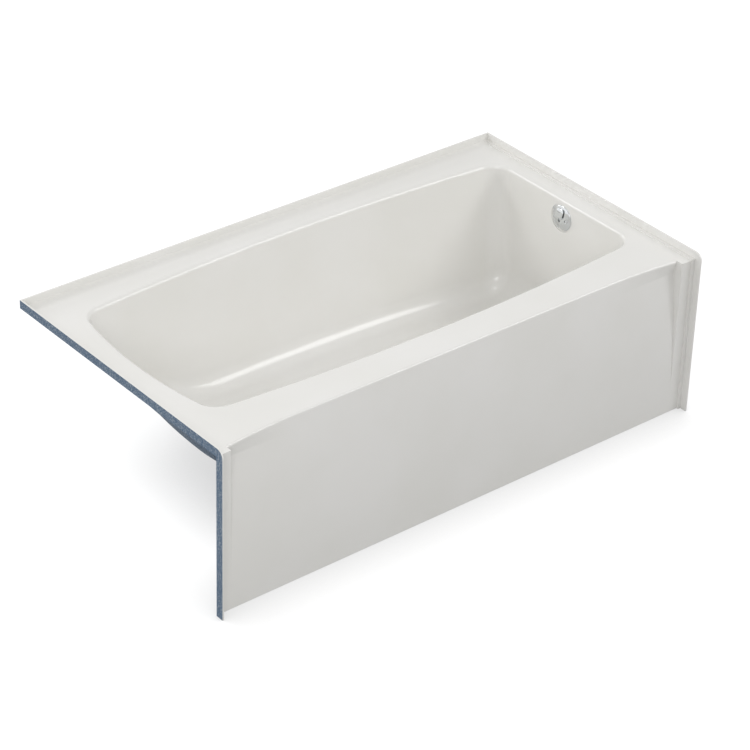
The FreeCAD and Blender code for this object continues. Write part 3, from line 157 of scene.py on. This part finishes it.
surface.inputs["Roughness"].default_value = laminate["roughness"]

# Chrome plate: bright nickel and chrome over brass, mirror smooth with faint wipe marks.
chrome = {"tint": "E4E7E9", "roughness": 0.07, "wipeMm": 3}
brightChromePlate, surface = newMaterial("brightChromePlate")
place = addNode(brightChromePlate, "TexCoord").outputs["Object"]
wipe = addNode(brightChromePlate, "TexNoise", {
    "Vector": place, "Scale": noiseScale(chrome["wipeMm"]), "Detail": 2})
gloss = addNode(brightChromePlate, "MapRange", {
    "Value": wipe.outputs["Fac"],
    "To Min": chrome["roughness"] * 0.7, "To Max": chrome["roughness"] * 1.4})
joinSockets(brightChromePlate, [(gloss.outputs[0], surface.inputs["Roughness"])])
surface.inputs["Base Color"].default_value = linear(chrome["tint"])
surface.inputs["Metallic"].default_value = 1

# Brass: drawn tube and castings, left plain, so it is warm and a little dull.
brass = {"fresh": "C9A45C", "dull": "A9854A", "roughness": 0.32, "patchMm": 18}
plainBrass, surface = newMaterial("plainBrass")
place = addNode(plainBrass, "TexCoord").outputs["Object"]
patch = addNode(plainBrass, "TexNoise", {
    "Vector": place, "Scale": noiseScale(brass["patchMm"]), "Detail": 5})
tone = addNode(plainBrass, "ValToRGB", {"Fac": patch.outputs["Fac"]})
rampColours(tone, [(0.35, brass["dull"]), (0.65, brass["fresh"])])
rub = addNode(plainBrass, "MapRange", {
    "Value": patch.outputs["Fac"],
    "To Min": brass["roughness"] * 1.3, "To Max": brass["roughness"] * 0.7})
joinSockets(plainBrass, [(tone.outputs["Color"], surface.inputs["Base Color"]),
                         (rub.outputs[0], surface.inputs["Roughness"])])
surface.inputs["Metallic"].default_value = 1

# Steel: zinc-plated screws, rod and pins, pale and slightly cloudy.
steel = {"bright": "B9BCBF", "cloud": "A0A4A8", "roughness": 0.3, "cloudMm": 2}
zincPlatedSteel, surface = newMaterial("zincPlatedSteel")
place = addNode(zincPlatedSteel, "TexCoord").outputs["Object"]
cloud = addNode(zincPlatedSteel, "TexNoise", {
    "Vector": place, "Scale": noiseScale(steel["cloudMm"]), "Detail": 3})
tone = addNode(zincPlatedSteel, "ValToRGB", {"Fac": cloud.outputs["Fac"]})
rampColours(tone, [(0.4, steel["cloud"]), (0.6, steel["bright"])])
joinSockets(zincPlatedSteel, [(tone.outputs["Color"], surface.inputs["Base Color"])])
surface.inputs["Metallic"].default_value = 1
surface.inputs["Roughness"].default_value = steel["roughness"]

# Rubber: moulded black gaskets, dull with a fine grain.
rubber = {"black": "232425", "worn": "323334", "roughness": 0.75, "grainMm": 0.8, "reliefMm": 0.1}
mouldedBlackRubber, surface = newMaterial("mouldedBlackRubber")
place = addNode(mouldedBlackRubber, "TexCoord").outputs["Object"]
grain = addNode(mouldedBlackRubber, "TexNoise", {
    "Vector": place, "Scale": noiseScale(rubber["grainMm"]), "Detail": 2})
tone = addNode(mouldedBlackRubber, "ValToRGB", {"Fac": grain.outputs["Fac"]})
rampColours(tone, [(0.4, rubber["black"]), (0.7, rubber["worn"])])
bump = addNode(mouldedBlackRubber, "Bump", {
    "Height": grain.outputs["Fac"], "Strength": 0.4, "Distance": rubber["reliefMm"] / 1000})
joinSockets(mouldedBlackRubber, [(tone.outputs["Color"], surface.inputs["Base Color"]),
                                 (bump.outputs["Normal"], surface.inputs["Normal"])])
surface.inputs["Roughness"].default_value = rubber["roughness"]

# Pine: sawn and unplaned, so it is dull, with wandering bands of early and late wood.
pine = {
    "early": "DDC093",
    "late": "B58A58",
    "bandMm": 56.55,            # the slow bands of a face sawn nearly along the growth rings
    "bandShare": 0.6,
    "wanderMm": 166.7,
    "wanderShare": 0.4,
    "fibreMm": 1.5,
    "reliefMm": 0.3,
    "roughness": 0.7,
}
sawnPine, surface = newMaterial("sawnPine")
place = addNode(sawnPine, "TexCoord").outputs["Object"]
lean = addNode(sawnPine, "Mapping", {"Vector": place, "Rotation": (0.05, 0.5, 0.03)})
wander = addNode(sawnPine, "TexNoise", {
    "Vector": place, "Scale": noiseScale(pine["wanderMm"]), "Detail": 2})
bands = addNode(sawnPine, "TexWave", {      # a wave repeats every pi/10 of its scale
    "Vector": lean.outputs["Vector"], "Scale": noiseScale(pine["bandMm"]) * math.pi / 10,
    "Distortion": 5, "Detail": 2}, bands_direction="Z")
fibre = addNode(sawnPine, "TexNoise", {
    "Vector": place, "Scale": noiseScale(pine["fibreMm"]), "Detail": 2})
mixed = addNode(sawnPine, "Math", {
    0: bands.outputs["Fac"], 1: pine["bandShare"], 2: 0.2}, operation="MULTIPLY_ADD")
uneven = addNode(sawnPine, "Math", {
    0: wander.outputs["Fac"], 1: pine["wanderShare"], 2: mixed.outputs[0]}, operation="MULTIPLY_ADD")
tone = addNode(sawnPine, "ValToRGB", {"Fac": uneven.outputs[0]})
rampColours(tone, [(0.35, pine["late"]), (0.75, pine["early"])])
bump = addNode(sawnPine, "Bump", {
    "Height": fibre.outputs["Fac"], "Strength": 0.5, "Distance": pine["reliefMm"] / 1000})
joinSockets(sawnPine, [(tone.outputs["Color"], surface.inputs["Base Color"]),
                       (bump.outputs["Normal"], surface.inputs["Normal"])])
surface.inputs["Roughness"].default_value = pine["roughness"]

# Plywood: rotary-cut veneer faces, so the grain lies in long wide flames.
plywood = {
    "face": "D8BC8E",
    "grain": "BF9A68",
    "flameMm": 60,
    "flameStretch": 0.12,
    "flameRings": 9,
    "fibreMm": 1.2,
    "reliefMm": 0.2,
    "roughness": 0.6,
}
faceVeneerPlywood, surface = newMaterial("faceVeneerPlywood")
place = addNode(faceVeneerPlywood, "TexCoord").outputs["Object"]
longway = addNode(faceVeneerPlywood, "Mapping", {
    "Vector": place, "Scale": (plywood["flameStretch"], 1, 1)})
flame = addNode(faceVeneerPlywood, "TexNoise", {
    "Vector": longway.outputs["Vector"], "Scale": noiseScale(plywood["flameMm"]),
    "Distortion": 1.2, "Detail": 4})
rings = addNode(faceVeneerPlywood, "Math", {
    0: flame.outputs["Fac"], 1: plywood["flameRings"]}, operation="MULTIPLY")
rings = addNode(faceVeneerPlywood, "Math", {0: rings.outputs[0], 1: 0.5}, operation="PINGPONG")
tone = addNode(faceVeneerPlywood, "ValToRGB", {"Fac": rings.outputs[0]})
rampColours(tone, [(0.05, plywood["grain"]), (0.3, plywood["face"])])
fibre = addNode(faceVeneerPlywood, "TexNoise", {
    "Vector": longway.outputs["Vector"], "Scale": noiseScale(plywood["fibreMm"]), "Detail": 2})
bump = addNode(faceVeneerPlywood, "Bump", {
    "Height": fibre.outputs["Fac"], "Strength": 0.4, "Distance": plywood["reliefMm"] / 1000})
joinSockets(faceVeneerPlywood, [(tone.outputs["Color"], surface.inputs["Base Color"]),
                                (bump.outputs["Normal"], surface.inputs["Normal"])])
surface.inputs["Roughness"].default_value = plywood["roughness"]
print("materials ready")

finishOf = {
    "gelcoat": glossWhiteGelcoat,
    "chrome": brightChromePlate,
    "brass": plainBrass,
    "rubber": mouldedBlackRubber,
    "steel": zincPlatedSteel,
    "plywood": faceVeneerPlywood,
    "pine": sawnPine,
}
for part in frame["record"]["subparts"]:
    for slot in nodes[part["node"]].material_slots:
        slot.material = finishOf[part["material_slot"]]
print("finishes set on the CAD nodes")


def selectOnly(piece):
    bpy.ops.object.select_all(action="DESELECT")
    piece.select_set(True)
    bpy.context.view_layer.objects.active = piece


def editMesh(piece):
    selectOnly(piece)
    bpy.ops.object.mode_set(mode="EDIT")


def objectMode():
    bpy.ops.object.mode_set(mode="OBJECT")


def applied(piece):
    # place, turn and size go into the mesh
    selectOnly(piece)
    bpy.ops.object.transform_apply(location=True, rotation=True, scale=True)
    return piece


def finishWith(piece, kind, **settings):
    # adds a modifier and applies it
    step = piece.modifiers.new(kind.lower(), kind)
    for name, value in settings.items():
        setattr(step, name, value)
    selectOnly(piece)
    bpy.ops.object.modifier_apply(modifier=step.name)


def smoothPiece(piece, degrees):
    # smooth between the sharp edges, with the large faces kept flat
    selectOnly(piece)
    bpy.ops.object.shade_smooth_by_angle(angle=math.radians(degrees))
    finishWith(piece, "WEIGHTED_NORMAL", keep_sharp=True, weight=60)


def joinPieces(piece, others):
    selectOnly(piece)
    for other in others:
        other.select_set(True)
    bpy.ops.object.join()


def boxAt(low, high):
    bpy.ops.mesh.primitive_cube_add(size=1, location=[(l + h) / 2 for l, h in zip(low, high)])
    piece = bpy.context.object
    piece.scale = [h - l for l, h in zip(low, high)]
    return applied(piece)


def rodAt(fromX, toX, y, z, radius, sides=48):
    bpy.ops.mesh.primitive_cylinder_add(
        vertices=sides, radius=radius, depth=abs(toX - fromX),
        location=((fromX + toX) / 2, y, z), rotation=(0, math.radians(90), 0))
    return applied(bpy.context.object)


def cutAway(piece, cutter):
    finishWith(piece, "BOOLEAN", operation="DIFFERENCE", solver="EXACT", object=cutter)
    bpy.data.objects.remove(cutter)


def copyNode(name, pieceName, flatDegrees):
    # a free copy of a CAD node, its loose triangles merged and its flat areas made one face each
    piece = nodes[name].copy()
    piece.data = nodes[name].data.copy()
    piece.name = pieceName
    piece.parent = None
    for key in list(piece.keys()):
        del piece[key]
    bpy.context.scene.collection.objects.link(piece)
    editMesh(piece)
    bpy.ops.mesh.customdata_custom_splitnormals_clear()
    bpy.ops.mesh.select_all(action="SELECT")
    bpy.ops.mesh.remove_doubles(threshold=0.00001)
    bpy.ops.mesh.dissolve_limited(angle_limit=math.radians(flatDegrees))
    bpy.ops.mesh.select_all(action="DESELECT")
    objectMode()
    return piece


def share(value, start, full):
    # 0 up to the start, 1 from the full value on
    return min(max((value - start) / (full - start), 0), 1)


# The shell: a merged copy of its CAD node, its worked edges rounded, white in front and blue behind.
shell = {
    "flatDegrees": 0.05,
    "foldDegrees": 25,          # edges that fold by less are left as they are
    "sharpDegrees": 40,
    "lipRoundMm": 1.3,          # free edges of the flanges
    "ledgeRoundMm": 2.6,        # both edges of the ledges beside the tile flanges
    "borderRoundMm": 1.5,       # where the apron's panel leaves its borders
    "flangeMm": 4.5,
    "ledgeMm": 12.5,
    "borderLineMm": 718,
    "borderBackMm": 25,         # border behind the front edges of the end flanges
    "borderSpanMm": 20,         # shorter edges belong to its ends
    "cornerMm": 22,             # reach of the round corner above each front edge
    "clearMm": 1,
    "sameMm": 0.2,
    "frontLineMm": -340,        # everything in front of this belongs to the apron
    "deckUnderMm": 447.5,
    "basinMiddleMm": 39.5,
    "rimMm": 0.3,
    "levelFacing": 0.35,        # part of a face's normal that makes it level
    "sideFacing": 0.3,          # or turned to the front or inwards
}
tub = copyNode("tub_shell", "tubShell", shell["flatDegrees"])
lowCorner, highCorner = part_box("tub_shell")
endX, frontY, topZ = highCorner.x, lowCorner.y, highCorner.z
flangeX = endX - shell["flangeMm"] / 1000
flangeY = highCorner.y - shell["flangeMm"] / 1000
ledgeX = endX - shell["ledgeMm"] / 1000
borderX = shell["borderLineMm"] / 1000
borderY = frontY + shell["borderBackMm"] / 1000


def near(value, target):
    return abs(value - target) < shell["sameMm"] / 1000


def foldedEdges(mesh, degrees):
    # edges whose two faces turn by more than that
    sides = {}
    for face in mesh.polygons:
        for key in face.edge_keys:
            sides.setdefault(key, []).append(face.normal)
    limit = math.radians(degrees)
    return [edge for edge in mesh.edges
            if len(sides[edge.key]) == 2
            and sides[edge.key][0].angle(sides[edge.key][1]) > limit]


def roundEdges(piece, widthMm, segments, test, clamp=True):
    # bevels the folded edges whose two ends pass the test
    bpy.ops.object.select_all(action="DESELECT")
    mesh = piece.data
    for group in (mesh.vertices, mesh.edges, mesh.polygons):
        group.foreach_set("select", [False] * len(group))
    chosen = [edge for edge in foldedEdges(mesh, shell["foldDegrees"])
              if test(*[mesh.vertices[corner].co for corner in edge.vertices])]
    for edge in chosen:
        edge.select = True
    editMesh(piece)
    bpy.ops.mesh.select_mode(type="EDGE")
    bpy.ops.mesh.bevel(offset=widthMm / 1000, segments=segments, profile=0.5, clamp_overlap=clamp)
    objectMode()
    print("rounded", len(chosen), "edges of", piece.name)


def onBorder(a, b):
    # the upright edges at both ends of the apron's panel
    atLine = near(abs(a.x), borderX) and near(abs(b.x), borderX)
    atPanel = near(a.y, b.y) and near(a.y, borderY)
    return atLine and atPanel and abs(a.z - b.z) > shell["borderSpanMm"] / 1000


def onLedge(a, b):
    # both edges of the end ledges, short of the top, the front, the floor and the back flange
    clear = shell["clearMm"] / 1000
    atLine = any(near(abs(a.x), x) and near(abs(b.x), x) for x in (ledgeX, flangeX))
    atEnd = near(a.z, topZ) or near(b.z, topZ) or near(a.y, frontY) or near(b.y, frontY)
    onFloor = a.z < clear and b.z < clear
    return atLine and not atEnd and not onFloor and a.y < flangeY - clear


def onLip(a, b):
    # the flanges' free edges: along the top, down the front and round the corner between them
    reach = shell["cornerMm"] / 1000
    top = near(a.z, topZ) and near(b.z, topZ)
    front = near(a.y, frontY) and near(b.y, frontY)
    corner = min(a.z, b.z) > topZ - reach and max(a.y, b.y) < frontY + reach
    onEnd = near(abs(a.x), abs(b.x))
    onBack = near(a.y, b.y) and a.y > 0
    return (top or front or corner) and (onEnd or onBack)


roundEdges(tub, shell["borderRoundMm"], 3, onBorder, clamp=False)
roundEdges(tub, shell["ledgeRoundMm"], 3, onLedge)
roundEdges(tub, shell["lipRoundMm"], 2, onLip)


def isMoulded(centre, normal):
    # the side that lay against the mould: deck, flange faces, apron front, inside of the basin
    if abs(normal.z) > shell["levelFacing"]:
        return normal.z > 0
    rim = shell["rimMm"] / 1000
    if abs(centre.x) > endX - rim or centre.y > highCorner.y - rim:
        return False
    if centre.y < shell["frontLineMm"] / 1000 or centre.z > shell["deckUnderMm"] / 1000:
        inward = -normal.x * math.copysign(1, centre.x)
        return max(inward, -normal.y) > shell["sideFacing"]
    middleY = shell["basinMiddleMm"] / 1000
    return normal.x * centre.x + normal.y * (centre.y - middleY) < 0


tub.data.materials.clear()
tub.data.materials.append(glossWhiteGelcoat)
tub.data.materials.append(blueGlassLaminate)
for face in tub.data.polygons:
    face.material_index = 0 if isMoulded(face.center, face.normal) else 1

# The outside of the backrest carries more glass than the rest, most of it just under the deck.
buildUp = {
    "thickMm": 26,
    "behindMm": -335,           # only behind the apron
    "beyondMm": -300,           # and only at the backrest end
    "underMm": 446.6,
    "jointMm": 446.9,           # higher corners stay where the deck is
    "flangeMm": -753,           # and farther ones where the end flange is
    "risesMm": (80, 260),       # height at which it starts, and is whole
    "fadesInMm": (60, -140),    # the same across the tub
    "leans": (0.05, 0.3),       # least lean of a face towards the end, and the lean for all of it
}
built = {}
for face in tub.data.polygons:
    outside = face.material_index == 1 and -face.normal.x > buildUp["leans"][0]
    behind = face.center.y > buildUp["behindMm"] / 1000
    beyond = face.center.x < buildUp["beyondMm"] / 1000
    if outside and behind and beyond and face.center.z < buildUp["underMm"] / 1000:
        for corner in face.vertices:
            built.setdefault(corner, []).append(-face.normal.x)
for corner, leans in built.items():
    point = tub.data.vertices[corner].co
    if point.z > buildUp["jointMm"] / 1000 or point.x < buildUp["flangeMm"] / 1000:
        continue
    rise = share(point.z * 1000, *buildUp["risesMm"])
    frontal = share(point.y * 1000, *buildUp["fadesInMm"])
    facing = share(sum(leans) / len(leans), 0, buildUp["leans"][1])
    point.x -= buildUp["thickMm"] / 1000 * rise * rise * (3 - 2 * rise) * facing * frontal

smoothPiece(tub, shell["sharpDegrees"])
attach(tub, "tub")
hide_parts("tub_shell")
print("shell ready:", len(tub.data.polygons), "faces")

# The overflow plate: a pressed dome of thin sheet, with a slot for the lever and a water gap below.
plate = {
    "radiusMm": 36,
    "crestMm": 11.5,            # from the wall to the middle of the dome
    "skirtMm": 2.0,             # straight edge round its foot
    "domeMm": 76.5,             # radius of the dome's sphere
    "ringsMm": (35.6, 34.8, 32, 28.5, 25, 21, 17, 13, 9, 5, 2),
    "sheetMm": 1.5,
    "slotMm": (6.4, 17),        # width, height
    "waterGapMm": (26, 5),      # width, height
    "screwSpreadMm": 22,
    "screwSeatMm": 5.8,         # from the wall to the seat under the head
    "recessMm": 4.6,            # radius of the round recess for the head
    "bossMm": 6,                # radius of the boss behind it
    "lugMm": (2.5, 6.2, 10),    # thickness, space between the two, height
    "lugStartMm": 10.5,
    "softenMm": 0.35,
    "softenDegrees": 50,
    "sharpDegrees": 35,
    "slotReachMm": 30,          # how far the cutters stick out, either way
    "recessReachMm": 20,
}
plateLow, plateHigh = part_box("overflow_plate")
wallX = plateLow.x + plate["crestMm"] / 1000
axisY = (plateLow.y + plateHigh.y) / 2
axisZ = plateHigh.z - plate["radiusMm"] / 1000


def domeHeight(radiusMm):
    return math.sqrt(plate["domeMm"] ** 2 - radiusMm ** 2) - plate["domeMm"] + plate["crestMm"]


bpy.ops.object.select_all(action="DESELECT")
bpy.ops.mesh.primitive_circle_add(vertices=96, radius=plate["radiusMm"] / 1000, fill_type="NGON",
                                  location=(wallX, axisY, axisZ), rotation=(0, math.radians(-90), 0))
dome = applied(bpy.context.object)
dome.name = "overflowDome"
editMesh(dome)
bpy.ops.mesh.select_all(action="SELECT")
bpy.ops.mesh.extrude_region_move(
    TRANSFORM_OT_translate={"value": (-plate["skirtMm"] / 1000, 0, 0)})
radius, height = plate["radiusMm"], plate["skirtMm"]
for ring in plate["ringsMm"]:
    bpy.ops.mesh.inset(thickness=(radius - ring) / 1000)
    bpy.ops.transform.translate(value=((height - domeHeight(ring)) / 1000, 0, 0))
    radius, height = ring, domeHeight(ring)
bpy.ops.mesh.select_all(action="DESELECT")
objectMode()
for face in dome.data.polygons:     # the flat back goes, so that the sheet can get its thickness
    face.select = face.center.x > wallX - 0.00001
editMesh(dome)
bpy.ops.mesh.select_mode(type="FACE")
bpy.ops.mesh.delete(type="FACE")
bpy.ops.mesh.select_all(action="SELECT")
bpy.ops.mesh.normals_make_consistent(inside=False)
objectMode()
finishWith(dome, "SOLIDIFY", thickness=plate["sheetMm"] / 1000, offset=-1)

reach = plate["slotReachMm"] / 1000
half, tall = plate["slotMm"][0] / 2000, plate["slotMm"][1] / 2000
cutAway(dome, boxAt((wallX - reach, axisY - half, axisZ - tall),
                    (wallX + reach, axisY + half, axisZ + tall)))
half, foot = plate["waterGapMm"][0] / 2000, axisZ - plate["radiusMm"] / 1000
cutAway(dome, boxAt((wallX - reach, axisY - half, foot - 0.001),
                    (wallX + reach, axisY + half, foot + plate["waterGapMm"][1] / 1000)))
extras = []
thick, space, lugTall = [size / 1000 for size in plate["lugMm"]]
seatX = wallX - plate["screwSeatMm"] / 1000
for side in (-1, 1):
    screwY = axisY + side * plate["screwSpreadMm"] / 1000
    cutAway(dome, rodAt(wallX - plate["recessReachMm"] / 1000, seatX, screwY, axisZ,
                        plate["recessMm"] / 1000))
    extras.append(rodAt(seatX, wallX - plate["sheetMm"] / 1000, screwY, axisZ,
                        plate["bossMm"] / 1000))
    nearY = axisY + side * space / 2
    farY = nearY + side * thick
    extras.append(boxAt(
        (wallX - plate["lugStartMm"] / 1000, min(nearY, farY), axisZ - lugTall / 2),
        (plateHigh.x, max(nearY, farY), axisZ + lugTall / 2)))
finishWith(dome, "BEVEL", width=plate["softenMm"] / 1000, segments=2, limit_method="ANGLE",
           angle_limit=math.radians(plate["softenDegrees"]))
joinPieces(dome, extras)
smoothPiece(dome, plate["sharpDegrees"])
dome.data.materials.append(brightChromePlate)
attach(dome, "tub")
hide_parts("overflow_plate")
print("overflow plate ready:", len(dome.data.polygons), "faces")

# The trip lever: arm and hub as they are, a crowned thumb piece, and a boss that keeps the slot closed.
lever = {
    "flatDegrees": 0.5,
    "crown": ((1.6, 0.45), (2.2, 0.4), (3.0, 0.3), (2.6, 0.15)),    # steps inward and outward, mm
    "bossMm": (16.4, 6.0),      # radius, width
    "softenMm": 0.6,
    "softenDegrees": 50,
    "sharpDegrees": 35,
}
thumb = copyNode("trip_lever", "thumbLever", lever["flatDegrees"])
broad = max((face for face in thumb.data.polygons if face.normal.x < -0.8),
            key=lambda face: face.area)
outward = broad.normal.copy()
broad.select = True
editMesh(thumb)
bpy.ops.mesh.select_mode(type="FACE")
for inset, rise in lever["crown"]:
    bpy.ops.mesh.inset(thickness=inset / 1000)
    bpy.ops.transform.translate(value=outward * rise / 1000)
objectMode()
pinLow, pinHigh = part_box("lever_pin")
bossRadius, bossWidth = [size / 1000 for size in lever["bossMm"]]
bpy.ops.mesh.primitive_cylinder_add(
    vertices=64, radius=bossRadius, depth=bossWidth, rotation=(math.radians(90), 0, 0),
    location=[(l + h) / 2 for l, h in zip(pinLow, pinHigh)])
joinPieces(thumb, [applied(bpy.context.object)])
finishWith(thumb, "BEVEL", width=lever["softenMm"] / 1000, segments=3, limit_method="ANGLE",
           angle_limit=math.radians(lever["softenDegrees"]))
smoothPiece(thumb, lever["sharpDegrees"])
thumb.data.materials.clear()
thumb.data.materials.append(brightChromePlate)
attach(thumb, "lever")
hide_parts("trip_lever")
print("lever ready:", len(thumb.data.polygons), "faces")

# The studio: a floor that the camera sees as white but for the tub's shadow, partly real and partly a
# painted contact shadow, and five softboxes.
studio = {
    "floorMm": 40000,
    "floorDropMm": 0.5,
    "floorSeen": "8C8C8C",      # what the camera sees of the floor's own shade
    "floorBounce": "BEBEBE",    # what the tub gets back from it
    "floorLift": 0.9,           # light of its own that brings the open floor to white
    "paintedShadowLift": 0.66,        # painted shadow: part of that glow that is left in the deepest corner
    "paintedShadowMm": 220,           # how near something has to be for the painted shadow to darken the floor
    "paintedShadowOpen": (0.45, 0.97),    # ambient-occlusion openness of the deepest corner, and of open floor, for the painted shadow
    "worldLight": 0.51,
    "aimMm": 300,
    "lamps": {                  # place and size in metres, power in watts
        "back": ((-0.6, 4.6, 1.9), 1.4, 34),        # low, so the back flange shades its ledge
        "backrest": ((-2.1, 2.9, 3.0), 1.1, 34),
        "frontRight": ((2.6, -2.6, 2.9), 1.6, 39),
        "frontLeft": ((-2.8, -2.8, 2.4), 1.6, 36),
        "overhead": ((-0.5, -0.3, 3.3), 0.7, 7),    # small, for the glints in the corners
    },
}
bpy.ops.mesh.primitive_plane_add(size=studio["floorMm"] / 1000,
                                 location=(0, 0, -studio["floorDropMm"] / 1000))
floor = applied(bpy.context.object)
floor.name = "floor"
paleFloor, surface = newMaterial("paleStudioFloor")
seen = addNode(paleFloor, "LightPath").outputs["Is Camera Ray"]
shade = addNode(paleFloor, "Mix", {0: seen}, data_type="RGBA")
shade.inputs[6].default_value = linear(studio["floorBounce"])
shade.inputs[7].default_value = linear(studio["floorSeen"])
# painted contact shadow: the floor's white glow is dimmed where ambient occlusion finds the tub near
paintedShadowOcclusion = addNode(paleFloor, "AmbientOcclusion", {"Distance": studio["paintedShadowMm"] / 1000}, samples=12)
paintedShadowGlow = addNode(paleFloor, "MapRange", {
    "Value": paintedShadowOcclusion.outputs["AO"],
    "From Min": studio["paintedShadowOpen"][0], "From Max": studio["paintedShadowOpen"][1],
    "To Min": studio["floorLift"] * studio["paintedShadowLift"], "To Max": studio["floorLift"]})
seenPaintedShadowGlow = addNode(paleFloor, "Math", {0: seen, 1: paintedShadowGlow.outputs[0]}, operation="MULTIPLY")
joinSockets(paleFloor, [(shade.outputs[2], surface.inputs["Base Color"]),
                        (seenPaintedShadowGlow.outputs[0], surface.inputs["Emission Strength"])])
surface.inputs["Emission Color"].default_value = (1, 1, 1, 1)
surface.inputs["Roughness"].default_value = 0.9
surface.inputs["Specular IOR Level"].default_value = 0
floor.data.materials.append(paleFloor)

world = bpy.data.worlds.new("studioWorld")
bpy.context.scene.world = world
world.use_nodes = True
sky = world.node_tree.nodes["Background"]
sky.inputs["Color"].default_value = (1, 1, 1, 1)
ray = addNode(world, "LightPath")
direct = addNode(world, "Math", {
    0: ray.outputs["Is Camera Ray"], 1: ray.outputs["Is Glossy Ray"]}, operation="MAXIMUM")
clear = addNode(world, "Math", {
    0: direct.outputs[0], 1: ray.outputs["Is Transmission Ray"]}, operation="MAXIMUM")
level = addNode(world, "MapRange", {
    "Value": clear.outputs[0], "To Min": studio["worldLight"], "To Max": 1})
joinSockets(world, [(level.outputs[0], sky.inputs["Strength"])])

aim = Vector((0, 0, studio["aimMm"] / 1000))
for name, (spot, size, power) in studio["lamps"].items():
    bpy.ops.object.light_add(type="AREA", location=spot)
    lamp = bpy.context.object
    lamp.name = name + "Softbox"
    lamp.data.size = size
    lamp.data.energy = power
    lamp.rotation_euler = (aim - lamp.location).to_track_quat("-Z", "Y").to_euler()
print("studio ready:", len(studio["lamps"]), "softboxes")

# The camera looks from the backrest end, over the apron.
view = {
    "place": (-3.8941, -4.6759, 4.0245),
    "headingDegrees": -40.0288,
    "downDegrees": 32.2441,
    "rollDegrees": 1.8932,
    "lensMm": 134.754,
    "sensorMm": 36,
}
bpy.ops.object.camera_add(location=view["place"])
camera = bpy.context.object
camera.name = "photoCamera"
camera.matrix_world = (Matrix.Translation(camera.location)
                       @ Matrix.Rotation(math.radians(view["headingDegrees"]), 4, "Z")
                       @ Matrix.Rotation(math.radians(90 - view["downDegrees"]), 4, "X")
                       @ Matrix.Rotation(math.radians(view["rollDegrees"]), 4, "Z"))
camera.data.lens = view["lensMm"]
camera.data.sensor_width = view["sensorMm"]
bpy.context.scene.camera = camera
bpy.context.scene.view_settings.view_transform = "Standard"

print("scene ready")
